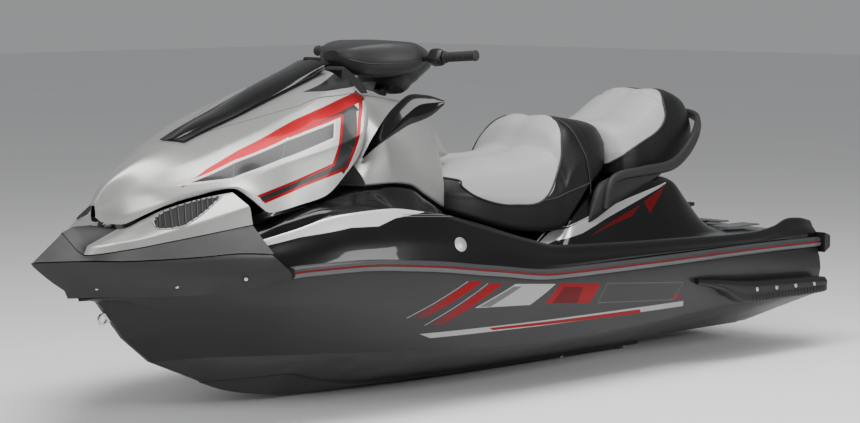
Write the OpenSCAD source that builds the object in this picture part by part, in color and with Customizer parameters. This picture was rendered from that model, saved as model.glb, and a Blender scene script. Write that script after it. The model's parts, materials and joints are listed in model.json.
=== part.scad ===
// Three-seat personal watercraft: hull, deck, seats, steering, jet pump.
// X runs forward to the bow, Y to port, Z up. Origin on the centreline,
// at mid length, on the still-water line.

/* [Hull] */
// Distance from the stern to the origin at mid length
mid_x = 1685; // [1675:1:1695]
// Depth of the keel below the waterline
draft = 250; // [220:5:280]
// Depth of the inner spray strakes
strake = 14; // [4:1:18]

/* [Bow] */
// Thickness of the bumper and nose mouldings
skin = 16; // [12:1:18]

/* [Front hatch] */
// Thickness of the hatch shell
hatch_t = 12; // [8:1:16]

/* [Steering] */
// Backward lean of the steering column from upright
column_lean = 30; // [26:1:32]
// Radius of the handlebar tube
bar_r = 11; // [10:0.5:12.5]
// Outer radius of a hand grip
grip_r = 17; // [15:0.5:18]

/* [Jet pump] */
// Inside radius of the pump duct
duct_r = 76; // [72:1:80]
// Gap between impeller tip and duct
tip_gap = 5; // [3:0.5:8]
// Number of impeller blades
blades = 5; // [3:1:6]
// Radius of the drive shaft
shaft_r = 11; // [9:0.5:13]

/* [Boarding step] */
// Radius of the step's tube
step_r = 10; // [8:0.5:12]
// Length of the step from its hinge
step_len = 205; // [180:5:210]

/* [Eyes] */
// Inside radius of the bow eye
eye_r = 12; // [9:1:14]
// Inside radius of a stern eye
stern_eye_r = 10; // [8:1:12]

/* [Hidden] */
$fn = 48;

// ---------- curves through hand-set points ----------
function find(T, x, i = 0) =
    (i >= len(T) - 2 || x <= T[i + 1][0]) ? i : find(T, x, i + 1);
function rise(T, i, k) = (T[i + 1][k] - T[i][k]) / (T[i + 1][0] - T[i][0]);
function slope(T, i, k) =
    i <= 0 ? rise(T, 0, k) :
    i >= len(T) - 1 ? rise(T, len(T) - 2, k) :
    let (a = rise(T, i - 1, k), b = rise(T, i, k))
    a * b <= 0 ? 0 : 2 * a * b / (a + b);
// Column k of table T at x: a smooth line that never overshoots its points
function at(T, x, k) =
    let (i = find(T, x), h = T[i + 1][0] - T[i][0],
         u = max(0, min(1, (x - T[i][0]) / h)),
         a = slope(T, i, k), b = slope(T, i + 1, k))
    T[i][k] * (1 + 2 * u) * (1 - u) * (1 - u) + T[i + 1][k] * u * u * (3 - 2 * u)
    + h * (a * u * (1 - u) * (1 - u) - b * u * u * (1 - u));
function last(T) = T[len(T) - 1];
function mix(a, b, u) = a + (b - a) * u;
function unit(v) = v / norm(v);

// Solid through rings of equal point count. Ends are flat polygons, or
// strips across the centreline with "zip_end" (a pinched bow end), or
// triangle fans with "fan" (rings that aren't flat).
module loft(rings, zip_end = false, fan = false) {
    n = len(rings[0]);
    m = len(rings);
    pts = [for (r = rings) for (p = r) p];
    walls = [for (i = [0 : m - 2]) for (j = [0 : n - 1])
        let (a = i * n + j, b = i * n + (j + 1) % n,
             c = a + n, d = b + n)
        each (j < n / 2 ? [[a, d, b], [a, c, d]] : [[a, c, b], [b, c, d]])];
    first = fan ? [for (j = [1 : n - 2]) [0, j, j + 1]]
        : [[for (j = [0 : n - 1]) j]];
    o = (m - 1) * n;
    end = zip_end
        ? [for (j = [0 : n / 2 - 1])
            let (a = o + j, b = o + j + 1,
                 c = o + (n - j) % n, d = o + n - j - 1)
            each (a == c ? [[a, d, b]] : b == d ? [[a, c, b]]
                : [[a, d, b], [a, c, d]])]
        : fan ? [for (j = [1 : n - 2]) [o, o + j + 1, o + j]]
        : [[for (j = [n - 1 : -1 : 0]) o + j]];
    polyhedron(points = pts, faces = concat(walls, first, end),
        convexity = 12);
}
// Closed ring across both sides from one half: first and last on the centre
function both(h) = concat(h,
    [for (i = [len(h) - 2 : -1 : 1]) [h[i][0], -h[i][1], h[i][2]]]);
module sides() { children(); mirror([0, 1, 0]) children(); }
module place() { translate([-mid_x, 0, -draft]) children(); }

// ---------- hull lines: x, half breadth, height above the keel ----------
KEEL = [[60, 0, 12], [300, 0, 5], [800, 0, 0], [2100, 0, 0], [2350, 0, 12],
    [2500, 0, 34], [2600, 0, 56], [2650, 0, 72]];
STRAKE = [[60, 110, 22], [800, 105, 16], [1500, 105, 15], [2080, 105, 30],
    [2290, 120, 64], [2465, 130, 105], [2600, 70, 100], [2700, 8, 92]];
MID = [[60, 330, 124], [1100, 330, 110], [1550, 330, 104], [2100, 330, 130],
    [2300, 330, 160], [2420, 325, 182], [2540, 220, 160], [2640, 120, 142],
    [2735, 8, 110]];
CHINE = [[60, 500, 192], [620, 500, 190], [1100, 508, 172], [1540, 510, 164],
    [1910, 490, 171], [2240, 430, 190], [2450, 360, 197], [2675, 250, 202],
    [2805, 120, 196], [2912, 8, 182]];
CHINE2 = [[60, 506, 212], [630, 508, 206], [1090, 518, 197], [1525, 522, 194],
    [1910, 502, 208], [2105, 485, 222], [2590, 362, 258], [2855, 180, 275],
    [3020, 8, 268]];
KNUCKLE = [[60, 522, 290], [1500, 552, 292], [2000, 545, 322],
    [2335, 528, 368], [2680, 440, 380], [2915, 236, 368], [3050, 92, 386],
    [3120, 8, 392]];
BOND = [[60, 500, 390], [150, 508, 392], [600, 548, 400], [1200, 568, 401],
    [1640, 576, 404], [1940, 576, 438], [2250, 566, 478], [2525, 536, 498],
    [2735, 468, 490], [2830, 394, 468], [2920, 316, 450], [3000, 222, 436],
    [3060, 160, 430], [3140, 60, 424], [3185, 8, 420]];
// Floor of the joint between hull and deck mouldings
TUB = [[60, 0, 325], [650, 0, 320], [900, 0, 290], [2050, 0, 290],
    [2350, 0, 340], [2700, 0, 398], [2950, 0, 410], [3185, 0, 400]];
// How far the joint's step lies inside the bond line
INSET = [[60, 48], [2050, 50], [2350, 85], [2700, 105], [3185, 110]];
flat_to = 2000;
// Where the pump tunnel ends, and the height of its roof
tunnel_x = 640;
roof_z = 318;
// Stations: flat cross-sections up to flat_to, then fanned to the stem
function stations() = concat([60, 200, 420, tunnel_x, tunnel_x + 1],
    [for (i = [1 : 7]) mix(tunnel_x, flat_to, i / 7)],
    [for (i = [1 : 12]) flat_to + i / 12]);
function on_line(T, s) =
    let (x = s <= flat_to ? s
        : mix(flat_to, last(T)[0], s - flat_to))
    [x, at(T, x, 1), at(T, x, 2)];
function hull_ring(s) =
    let (b = on_line(BOND, s), e = on_line(STRAKE, s),
         f = max(0, s - flat_to), g = strake * (1 - f),
         e2 = e + [0, mix(7, 1, f), max(g, 3)], m = on_line(MID, s),
         w = mix(e2, m, 0.225), t = at(TUB, b[0], 2))
    both(concat(s <= tunnel_x
        ? [[s, 0, roof_z], [s, 60, roof_z - 0.5], [s, 120, roof_z - 2],
            [s, w[1], roof_z - 4]]
        : [on_line(KEEL, s), e, e2, mix(w, m, 0.01)],
        [s <= tunnel_x ? w : mix(w, m, 0.5), m,
        on_line(CHINE, s), on_line(CHINE2, s), on_line(KNUCKLE, s),
        b - [0, 0, 13], b - [0, min(26, b[1] * 0.3), 14],
        [b[0], b[1] - min(at(INSET, b[0], 1) + 1, b[1] * 0.5),
            min(t, b[2] - 18)],
        [b[0], 0, min(t, b[2] - 18) - 1]]));

shaft_z = 165;
module hull() color([0.16, 0.16, 0.17]) place() difference() {
    loft([for (s = stations()) hull_ring(s)], zip_end = true);
    // water duct from the bottom up to the pump
    translate([0, 95, 0]) rotate([90, 0, 0]) linear_extrude(190)
        polygon([[630, 250], [630, 90], [690, -20], [1070, -20],
            [1075, 20], [960, 70], [800, 210], [700, 250]]);
    // engine bay
    translate([1045, -200, 108]) cube([815, 400, 300]);
    // tunnel for the drive shaft
    translate([640, 0, shaft_z]) rotate([0, 90, 0]) cylinder(h = 410, r = 22);
    // bite in the stem for the bow eye
    translate([3098, 40, 335]) rotate([90, 0, 0]) cylinder(h = 80, r = 40);
}

// ---------- deck lines ----------
CREST = [[60, 468, 468], [130, 476, 482], [200, 480, 486], [320, 498, 466],
    [475, 516, 455], [915, 536, 464], [1265, 544, 474], [1585, 544, 488],
    [1720, 540, 516], [1975, 528, 586], [2165, 508, 638], [2335, 488, 661],
    [2535, 466, 652], [2670, 430, 617], [2780, 382, 585], [2870, 335, 556],
    [2930, 290, 545], [2985, 232, 532]];
WELL_OUT = [[60, 425, 422], [450, 455, 428], [620, 465, 405], [800, 470, 345],
    [1000, 475, 328], [1900, 465, 328], [2050, 455, 400], [2200, 452, 580],
    [2300, 440, 670], [2535, 425, 668], [2670, 396, 635], [2770, 345, 600],
    [2870, 300, 568], [2985, 205, 540]];
WELL_IN = [[60, 260, 424], [450, 275, 430], [620, 280, 408], [800, 285, 347],
    [1000, 285, 330], [1255, 285, 330], [1700, 275, 330], [1900, 305, 335],
    [2050, 345, 430], [2200, 375, 640], [2300, 385, 695], [2535, 392, 678],
    [2670, 378, 645], [2770, 318, 612], [2870, 262, 580], [2985, 175, 545]];
PED = [[60, 140, 426], [300, 150, 432], [345, 175, 452], [475, 200, 560],
    [570, 205, 635], [700, 212, 652], [950, 212, 640], [1070, 232, 600],
    [1184, 248, 528], [1255, 252, 446], [1400, 244, 472], [1675, 216, 545],
    [1780, 205, 588], [1825, 235, 608], [1955, 282, 660], [2065, 318, 702],
    [2185, 343, 715], [2335, 358, 712], [2505, 366, 690], [2605, 366, 672],
    [2700, 342, 648], [2770, 303, 620], [2870, 242, 592], [2985, 140, 558]];
TOP = [[60, 100, 428], [300, 100, 434], [345, 120, 456], [475, 150, 570],
    [570, 160, 648], [700, 165, 664], [950, 165, 652], [1070, 180, 612],
    [1184, 200, 540], [1255, 205, 492], [1790, 180, 492], [1880, 200, 600],
    [1955, 215, 640], [2065, 250, 690], [2185, 290, 712], [2335, 310, 708],
    [2505, 318, 686], [2605, 318, 668], [2700, 298, 645], [2770, 266, 616],
    [2870, 200, 590], [2985, 100, 560]];
deck_x = [60, 130, 200, 260, 310, 345, 400, 475, 570, 640, 720, 850, 950,
    1070, 1130, 1184, 1255, 1400, 1540, 1675, 1780, 1830, 1890, 1955, 2020,
    2065, 2120, 2185, 2250, 2335, 2440, 2535, 2610, 2670, 2720, 2770, 2820,
    2870, 2930, 2985];
function line3(T, x, dy = 0, dz = 0) = [x, at(T, x, 1) + dy, at(T, x, 2) + dz];
function deck_ring(x) =
    let (b = line3(BOND, x), t = at(TUB, x, 2))
    both([[x, 0, min(t, b[2] - 14) + 12],
        [x, b[1] - at(INSET, x, 1) - 13, min(t, b[2] - 14) + 11],
        [x, b[1] - 25, b[2] + 0], [x, b[1] - 1, b[2] + 0],
        [x, b[1], b[2] + 15],
        line3(CREST, x, 14, -22), line3(CREST, x, 0, 0),
        line3(CREST, x, -22, -10), line3(WELL_OUT, x), line3(WELL_IN, x),
        line3(PED, x), line3(TOP, x), [x, 0, at(TOP, x, 2) + 1]]);
module deck() color([0.05, 0.05, 0.06]) place() difference() {
    loft([for (x = deck_x) deck_ring(x)]);
    translate([1045, -200, 250]) cube([815, 400, 226]);
    translate([2355, -255, 445]) cube([445, 510, 400]);
}

// ---------- rub rails ----------
RAIL = [[62, 523, 389], [130, 530, 391], [600, 570, 400], [1200, 590, 401],
    [1640, 597, 404], [1940, 597, 438], [2250, 587, 478], [2525, 558, 498],
    [2700, 508, 493], [2738, 492, 489]];
rail_x = [62, 130, 300, 500, 700, 950, 1200, 1420, 1640, 1790, 1940, 2100,
    2250, 2390, 2525, 2620, 2700, 2738];
function rail_ring(x) =
    let (y = at(RAIL, x, 1), z = at(RAIL, x, 2),
         b = x < 60 ? BOND[0][1] : at(BOND, x, 1))
    [[x, b + 2, z - 17], [x, y - 3, z - 13], [x, y, z - 3], [x, y, z + 5],
     [x, y - 4, z + 14], [x, b + 2, z + 18]];
module rub_rails() color([0.35, 0.35, 0.36]) place() sides()
    loft([for (x = rail_x) rail_ring(x)]);

// ---------- bow: lines from the centreline (0) back to the sides (6) ----------
B_LOW = [[0, 3230, 0, 412], [1, 3147, 82, 415], [2, 3085, 155, 417],
    [3, 3030, 222, 420], [4, 2942, 340, 430], [5, 2855, 420, 447],
    [6, 2758, 490, 470]];
B_CREASE = [[0, 3242, 0, 437], [1, 3186, 80, 442], [2, 3100, 172, 445],
    [3, 3032, 256, 447], [4, 2941, 344, 455], [5, 2855, 424, 471],
    [6, 2748, 493, 487]];
B_TIP = [[0, 3368, 0, 531], [1, 3245, 100, 534], [2, 3160, 168, 532],
    [3, 3065, 250, 536], [4, 2975, 318, 542], [5, 2870, 388, 550],
    [6, 2790, 445, 546]];
N_TOP = [[0, 3249, 0, 617], [1, 3228, 90, 554], [2, 3117, 164, 568],
    [3, 3030, 228, 587], [4, 2950, 276, 603], [5, 2860, 320, 620],
    [6, 2785, 352, 633]];
S_RIDGE = [[0, 3205, 0, 632], [1, 3212, 82, 578], [2, 3117, 162, 592],
    [3, 3030, 226, 616], [4, 2945, 272, 641], [5, 2872, 312, 664],
    [6, 2795, 352, 688]];
S_TOP = [[0, 3140, 0, 632], [1, 3070, 56, 619], [2, 3019, 108, 649],
    [3, 2986, 150, 675], [4, 2909, 212, 706], [5, 2857, 248, 720],
    [6, 2808, 284, 730]];
function b_at(T, s) = [at(T, s, 1), at(T, s, 2), at(T, s, 3)];
// Point moved d towards the middle of the bow
function inner(p, d, lift = 0) =
    let (v = [2700 - p[0], -p[1] * 1.2, 0]) p + unit(v) * d + [0, 0, lift];
module bow_band(lines, t, lift = -8, steps = 18, to = 6) {
    r = [for (i = [0 : steps]) let (s = to * i / steps)
        concat([for (L = lines) b_at(L, s)],
            [for (j = [len(lines) - 1 : -1 : 0]) inner(b_at(lines[j], s), t,
                j == len(lines) - 1 ? lift : 0)])];
    n = len(r[0]);
    full = concat([for (i = [steps : -1 : 1])
        [for (p = r[i]) [p[0], -p[1], p[2]]]], r);
    m = len(full);
    polyhedron(points = [for (q = full) for (p = q) p],
        faces = concat([for (i = [0 : m - 2]) for (j = [0 : n - 1])
            let (a = i * n + j, b = i * n + (j + 1) % n)
            each [[a, b, b + n], [a, b + n, a + n]]],
            // ends closed by strips from the outer to the inner lines
            [for (o = [0, (m - 1) * n]) for (k = [0 : n / 2 - 2])
                let (a = o + k, b = o + k + 1, c = o + n - 2 - k,
                     d = o + n - 1 - k)
                each (o == 0 ? [[a, c, b], [a, d, c]]
                    : [[a, b, c], [a, c, d]])]), convexity = 10);
}
module bow_bumper() color([0.2, 0.2, 0.21]) place()
    bow_band([B_LOW, B_CREASE, B_TIP], skin, -2);
module nose_cover() color([0.2, 0.2, 0.21]) place()
    bow_band([[for (p = B_TIP) p + [0, -8, 0, 3]],
        [for (p = N_TOP) p + [0, 0, 0, -3]]], skin, -8);
module intake_surround() color([0.72, 0.72, 0.74]) place() difference() {
    bow_band([N_TOP, S_RIDGE, S_TOP], skin, -6);
    sides() grille_box(0);
}
module grille_box(g) translate([2965, 222, 656]) rotate([0, 0, -38])
    rotate([0, 14, 0]) translate([-88 + g, -60, -22 + g])
    cube([176 - 2 * g, 120, 44 - 2 * g]);
module intake_grilles() color([0.1, 0.1, 0.1]) place() sides()
    translate([2965, 222, 656]) rotate([0, 0, -38]) rotate([0, 14, 0])
        for (i = [-3 : 3]) translate([i * 23, -14, -14]) rotate([0, 25, 0])
            cube([6, 10, 28]);

// ---------- front hatch: lines from its low edge to the centre ----------
H_EDGE = [[2186, 190, 1024], [2200, 240, 1004], [2235, 300, 950],
    [2295, 344, 875], [2340, 362, 825], [2400, 372, 775], [2510, 382, 705],
    [2610, 382, 686], [2735, 374, 668], [2775, 334, 712], [2805, 290, 742],
    [2909, 217, 718], [2986, 156, 687], [3019, 112, 662], [3067, 60, 633],
    [3116, 24, 642], [3128, 12, 656]];
H_SIDE = [[2186, 180, 1034], [2235, 270, 985], [2315, 346, 888],
    [2450, 352, 850], [2590, 345, 822], [2700, 318, 790], [2765, 296, 762],
    [2805, 285, 751], [2909, 219, 730], [2986, 158, 702], [3019, 114, 682],
    [3067, 62, 660], [3128, 14, 668]];
H_MID = [[2186, 120, 1060], [2300, 190, 1030], [2450, 220, 978],
    [2600, 220, 926], [2700, 205, 888], [2805, 180, 845], [2900, 145, 808],
    [2986, 95, 762], [3060, 48, 720], [3128, 10, 682]];
H_CROWN = [[2186, 60, 1080], [2300, 80, 1046], [2450, 85, 998],
    [2600, 78, 945], [2750, 64, 893], [2806, 58, 872], [2900, 48, 848],
    [2954, 40, 829], [3052, 26, 777], [3096, 16, 743], [3128, 9, 700]];
hatch_x = [2186, 2200, 2235, 2270, 2315, 2360, 2400, 2450, 2510, 2590, 2650,
    2700, 2735, 2755, 2775, 2790, 2805, 2850, 2909, 2954, 2986, 3019, 3045,
    3067, 3096, 3116, 3128];
function hatch_half(x) = [line3(H_EDGE, x), line3(H_SIDE, x, 0, 2),
    line3(H_MID, x), line3(H_CROWN, x),
    [x, 0, at(H_CROWN, x, 2) + 4]];
function hatch_ring(x) =
    let (h = hatch_half(x), t = hatch_t,
         k = x > 3060 ? 0.25 : 0.8)
    concat(h, [for (i = [3 : -1 : 0]) [x, -h[i][1], h[i][2]]],
        [[x, -h[0][1] + t * k, h[0][2] + 1],
         [x, -h[1][1] + t * k, h[1][2] - t * 0.6],
         [x, -h[2][1] + t * 0.3 * k, h[2][2] - t],
         [x, -h[3][1] + t * 0.1 * k, h[3][2] - t], [x, 0, h[4][2] - t],
         [x, h[3][1] - t * 0.1 * k, h[3][2] - t],
         [x, h[2][1] - t * 0.3 * k, h[2][2] - t],
         [x, h[1][1] - t * k, h[1][2] - t * 0.6],
         [x, h[0][1] - t * k, h[0][2] + 1]]);
module front_hatch() color([0.66, 0.66, 0.68]) place()
    loft([for (x = hatch_x) hatch_ring(x)]);
RIDGE = [[2204, 96, 1120], [2250, 90, 1104], [2430, 80, 1041],
    [2600, 70, 969], [2720, 52, 927], [2812, 24, 885]];
ridge_x = [2204, 2250, 2340, 2430, 2520, 2600, 2660, 2720, 2770, 2812];
function ridge_ring(x) =
    let (w = at(RIDGE, x, 1), z = at(RIDGE, x, 2),
         c = at(H_CROWN, x, 2) + 6)
    both([[x, 0, c + 2], [x, at(H_CROWN, x, 1) * 0.9, c],
        [x, at(H_CROWN, x, 1) + 4, mix(c, z, 0.3)],
        [x, w * 0.8, max(z - 10, c + 3)], [x, 0, max(z, c + 6)]]);
hinge = [2194, 0, 1118];
module hatch_ridge() color([0.12, 0.12, 0.13]) place() {
    loft([for (x = ridge_x) ridge_ring(x)]);
    // hinge barrel behind the ridge
    translate(hinge + [0, -45, 0]) rotate([-90, 0, 0]) cylinder(h = 90, r = 7);
    translate(hinge + [0, -40, -6]) cube([14, 80, 9]);
}

module storage_bin() color([0.15, 0.15, 0.16]) place() difference() {
    translate([2358, -252, 448]) cube([438, 504, 160]);
    translate([2366, -244, 454]) cube([422, 488, 200]);
}
module fuel_cap() color([0.1, 0.1, 0.1]) place()
    translate([2560, -432, 668]) rotate([30, 0, 0]) translate([0, 0, 6])
    union() {
        cylinder(h = 14, r = 42);
        translate([-38, -5, 14]) cube([76, 10, 10]);
    }

// ---------- console, instruments, mirrors ----------
C_LOW = [[1655, 90, 772], [1739, 112, 762], [1796, 190, 722],
    [1804, 222, 612], [1825, 236, 618], [1955, 282, 668], [2065, 318, 710],
    [2185, 343, 722], [2300, 352, 722]];
C_MID = [[1655, 98, 780], [1739, 130, 800], [1796, 208, 748],
    [1825, 226, 744], [1955, 262, 790], [2065, 290, 850], [2185, 300, 890],
    [2300, 330, 812]];
C_TOP = [[1655, 80, 788], [1739, 110, 880], [1800, 112, 930],
    [1910, 115, 975], [2060, 125, 992], [2185, 150, 985], [2300, 150, 830]];
console_x = [1655, 1700, 1739, 1770, 1796, 1804, 1825, 1880, 1955, 2065, 2150, 2240,
    2300];
function console_ring(x) =
    let (k = x > 2170 ? (x - 2170) * 1.0 : 0)
    both([[x, 0, at(C_LOW, x, 2) + 5], line3(C_LOW, x, -4, 2),
        line3(C_LOW, x, 0, 8),
        [x, at(C_MID, x, 1) - k * 0.25, at(C_MID, x, 2) - k * 0.2],
        [x, at(C_TOP, x, 1), at(C_TOP, x, 2)],
        [x, 0, at(C_TOP, x, 2) + 6]]);
module console() color([0.3, 0.3, 0.31]) place()
    loft([for (x = console_x) console_ring(x)]);
module meter_visor() color([0.1, 0.1, 0.1]) place() translate([2050, 0, 1000])
    rotate([90, 0, 0]) translate([0, 0, -105]) linear_extrude(210)
    polygon([[0, 4], [115, 4], [122, 20], [118, 84], [108, 90], [12, 30]]);
module instrument_panel() color([0.08, 0.08, 0.09]) place()
    translate([2062, 0, 1036]) rotate([0, -32, 0]) translate([0, -85, 0])
    cube([98, 170, 8]);
module mirror_housings() color([0.05, 0.05, 0.06]) place() sides()
    loft([for (q = [
        [2272, 318, 815, 6, 8], [2225, 338, 868, 20, 34],
        [2160, 366, 930, 30, 66], [2110, 390, 965, 30, 76],
        [2070, 425, 975, 22, 56], [2044, 455, 985, 6, 14]])
        [[q[0] + q[3], q[1] - q[3], q[2] - q[4] * 0.4],
         [q[0] - q[3], q[1] - q[3] * 1.2, q[2] + q[4] * 0.1],
         [q[0], q[1] - q[3], q[2] + q[4] * 0.6],
         [q[0] + q[3] * 0.2, q[1] + q[3], q[2] + q[4] * 0.2],
         [q[0] + q[3], q[1] + q[3] * 0.6, q[2] - q[4] * 0.6]]], fan = true);
module mirror_glass() color([0.7, 0.75, 0.8]) place() sides()
    translate([2060, 378, 952]) rotate([0, -12, 38]) translate([-8, -45, -22])
    cube([4, 90, 44]);
module glove_box_lid() color([0.2, 0.2, 0.21]) place()
    translate([1812, 0, 955]) rotate([0, -40, 0])
    union() {
        translate([-112, -62, -4]) cube([110, 124, 8]);
        translate([3.9, -50, 4.6]) rotate([-90, 0, 0]) cylinder(h = 100, r = 5);
        translate([-4, -50, -4]) cube([8, 100, 8]);
    }
module reverse_lever() color([0.1, 0.1, 0.1]) place()
    translate([1880, -242, 800]) {
        rotate([70, 0, 0]) cylinder(h = 36, r = 9);
        translate([0, -30, 10]) rotate([0, -20, 0]) {
            translate([-7, -5, 0]) cube([14, 10, 85]);
            translate([0, 0, 90]) sphere(r = 15);
        }
    }

// ---------- handlebar: built upright at the column's foot, then leaned ----------
bar_foot = [1880, 0, 1015];
module lean() place() translate(bar_foot) rotate([0, -column_lean, 0])
    children();
// Frame of a hand grip: its Z runs out along the port grip
bar_at = [18, 130, 104];
module grip_frame() translate(bar_at) rotate([-84, 0, 3]) children();
module handlebar() color([0.15, 0.15, 0.15]) lean() {
    translate([0, 0, -20]) cylinder(h = 80, r = 24);
    translate([0, 0, 40]) cylinder(h = 26, r = 40);
    translate([4, -24, 60]) cube([28, 48, 44]);
    tube([[5, -378, 130], [18, -130, 104], [18, 130, 104], [5, 378, 130]],
        bar_r, [1, 0, 0], 20);
}
module handle_pad() color([0.2, 0.2, 0.21]) {
    place() loft([for (q = [[1700, 60, 1096, 1112], [1730, 98, 1110, 1130],
        [1800, 140, 1132, 1162], [1880, 176, 1134, 1176],
        [1960, 162, 1130, 1178], [2040, 120, 1122, 1170],
        [2100, 60, 1128, 1156]])
        both([[q[0], 0, q[2] + 3], [q[0], q[1] * 0.8, q[2]],
            [q[0], q[1], mix(q[2], q[3], 0.4)],
            [q[0], q[1] * 0.6, q[3] - 6], [q[0], 0, q[3]]])]);
    // boot round the column
    lean() difference() {
        translate([0, 0, -8]) cylinder(h = 84, r1 = 74, r2 = 96);
        translate([0, 0, -9]) cylinder(h = 86, r = 46);
    }
}
module grips() color([0.06, 0.06, 0.06]) lean() sides() grip_frame()
    translate([0, 0, 124]) difference() {
        cylinder(h = 134, r = grip_r);
        translate([0, 0, -1]) cylinder(h = 132, r = bar_r + 0.5);
    }
module control_pods() color([0.1, 0.1, 0.1]) lean() sides() grip_frame()
    translate([0, 0, 64]) difference() {
        translate([-24, -26, 0]) cube([48, 50, 54]);
        translate([0, 0, -1]) cylinder(h = 70, r = bar_r + 0.5);
    }
module throttle_lever() color([0.1, 0.1, 0.1]) lean() mirror([0, 1, 0])
    grip_frame() translate([28, -8, 68]) union() {
        cube([12, 16, 40]);
        translate([2, 2, 30]) cube([8, 12, 90]);
    }

// ---------- seats ----------
// x, half width at the skirt, skirt height, half width on top, top height
FSEAT = [[885, 150, 735, 60, 858], [937, 190, 712, 90, 868],
    [1000, 220, 690, 105, 876], [1072, 240, 650, 110, 886],
    [1130, 250, 600, 112, 892], [1184, 256, 552, 110, 862],
    [1222, 258, 520, 110, 806], [1260, 260, 500, 120, 779],
    [1330, 256, 500, 140, 764], [1400, 250, 505, 140, 758],
    [1530, 236, 532, 130, 756], [1635, 222, 562, 115, 748],
    [1700, 200, 582, 95, 738], [1760, 160, 605, 70, 714],
    [1788, 110, 640, 45, 690]];
RSEAT = [[330, 90, 790, 30, 868], [360, 130, 750, 60, 915],
    [420, 170, 720, 90, 950], [500, 195, 700, 110, 968],
    [560, 205, 690, 115, 968], [620, 212, 682, 115, 945],
    [690, 216, 675, 120, 900], [760, 216, 672, 130, 868],
    [830, 200, 672, 100, 858], [872, 150, 672, 50, 850]];
function seat_ring(q, base) =
    both([[q[0], 0, base + 3], [q[0], q[1] * 0.86, base],
        [q[0], q[1], q[2]], [q[0], q[1] * 0.97, mix(q[2], q[4], 0.45)],
        [q[0], mix(q[1], q[3], 0.55), mix(q[2], q[4], 0.88)],
        [q[0], q[3] * 0.7, q[4]], [q[0], 0, q[4] - 2]]);
function seat_row(T, x) = [x, at(T, x, 1), at(T, x, 2), at(T, x, 3),
    at(T, x, 4)];
module front_seat() color([0.12, 0.12, 0.12]) place()
    loft([for (i = [0 : 26]) let (x = mix(885, 1788, i / 26),
        q = seat_row(FSEAT, x))
        seat_ring([q[0], q[1], max(q[2], at(PED, x, 2) + 12), q[3], q[4]],
            max(at(TOP, x, 2), at(PED, x, 2)) + 10)]);
module rear_seat() color([0.7, 0.7, 0.7]) place()
    loft([for (i = [0 : 18]) let (x = mix(330, 872, i / 18),
        q = seat_row(RSEAT, x))
        seat_ring(q, x < 570 ? q[2] - 10 : max(at(TOP, x, 2) + 4, q[2] - 12))]);

// ---------- stern fittings ----------
module rod(a, b, r) {
    v = b - a;
    translate(a) rotate([0, acos(v[2] / norm(v)), atan2(v[1], v[0])])
        cylinder(h = norm(v), r = r);
}
// Smooth path through points, with k steps between each two
function smooth(P, k) = concat([for (i = [0 : len(P) - 2]) for (j = [0 : k - 1])
    let (a = P[max(i - 1, 0)], b = P[i], c = P[i + 1],
         d = P[min(i + 2, len(P) - 1)], u = j / k)
    0.5 * (2 * b + (c - a) * u + (2 * a - 5 * b + 4 * c - d) * u * u
        + (3 * b - a - 3 * c + d) * u * u * u)], [last(P)]);
function tangent(P, i) =
    unit(P[min(i + 1, len(P) - 1)] - P[max(i - 1, 0)]);
function carry(P, i, u) = i >= len(P) ? [] :
    let (t = tangent(P, i), v = unit(u - t * (u * t)))
    concat([v], carry(P, i + 1, v));
// Tube of radius r along a path; start is any direction across its first step
module tube(P, r, start, n = 10) {
    U = carry(P, 0, start);
    polyhedron(points = [for (i = [0 : len(P) - 1]) for (k = [0 : n - 1])
        let (t = tangent(P, i), a = k * 360 / n)
        P[i] + r * (cos(a) * U[i] + sin(a) * cross(t, U[i]))],
        faces = concat([for (i = [0 : len(P) - 2]) for (k = [0 : n - 1])
            let (a = i * n + k, b = i * n + (k + 1) % n)
            each [[a, b + n, b], [a, a + n, b + n]]],
            [[for (k = [0 : n - 1]) k]],
            [[for (k = [n - 1 : -1 : 0]) (len(P) - 1) * n + k]]),
        convexity = 8);
}
GRAB = [[1010, 260, 560], [990, 261, 640], [940, 261, 672], [800, 260, 684],
    [640, 254, 695], [540, 243, 735], [440, 214, 800], [350, 152, 850],
    [310, 76, 868], [303, 0, 872]];
module grab_rail() color([0.2, 0.2, 0.2]) place()
    tube(smooth(concat(GRAB, [for (i = [len(GRAB) - 2 : -1 : 0])
        [GRAB[i][0], -GRAB[i][1], GRAB[i][2]]]), 3), 13, [1, 0, 0]);
module tow_hook() color([0.08, 0.08, 0.08]) place() {
    translate([215, 0, 440]) cylinder(h = 66, r = 16);
    translate([215, 0, 504]) cylinder(h = 12, r = 28);
    translate([160, -60, 438]) cube([120, 120, 8]);
}
module traction_mats() color([0.4, 0.4, 0.41]) place() {
    translate([75, -95, 437]) cube([60, 190, 6]);
    sides() translate([85, 170, 436]) cube([195, 80, 6]);
    sides() translate([1020, 305, 339]) cube([840, 145, 6]);
}
module stern_bumpers() color([0.1, 0.1, 0.1]) place() sides()
    loft([for (q = [[0, 500, 522, 376, 402], [14, 470, 530, 366, 412],
        [57, 440, 538, 350, 425]])
        [[q[0], q[1], q[3]], [q[0], q[2], q[3]], [q[0], q[2], q[4]],
         [q[0], q[1], q[4]]]]);
module sponsons() color([0.08, 0.08, 0.08]) place() sides()
    loft([for (q = [
        [90, 526, 576, 208, 262], [140, 528, 580, 206, 266],
        [590, 538, 588, 208, 288], [740, 548, 586, 270, 306],
        [860, 554, 574, 300, 318]])
        [[q[0], q[1], q[3]], [q[0], q[2] - 6, q[3]],
         [q[0], q[2], q[4] - 14], [q[0], q[2] - 12, q[4]],
         [q[0], q[1] + 3, q[4]]]]);
step_z = 200;
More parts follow.
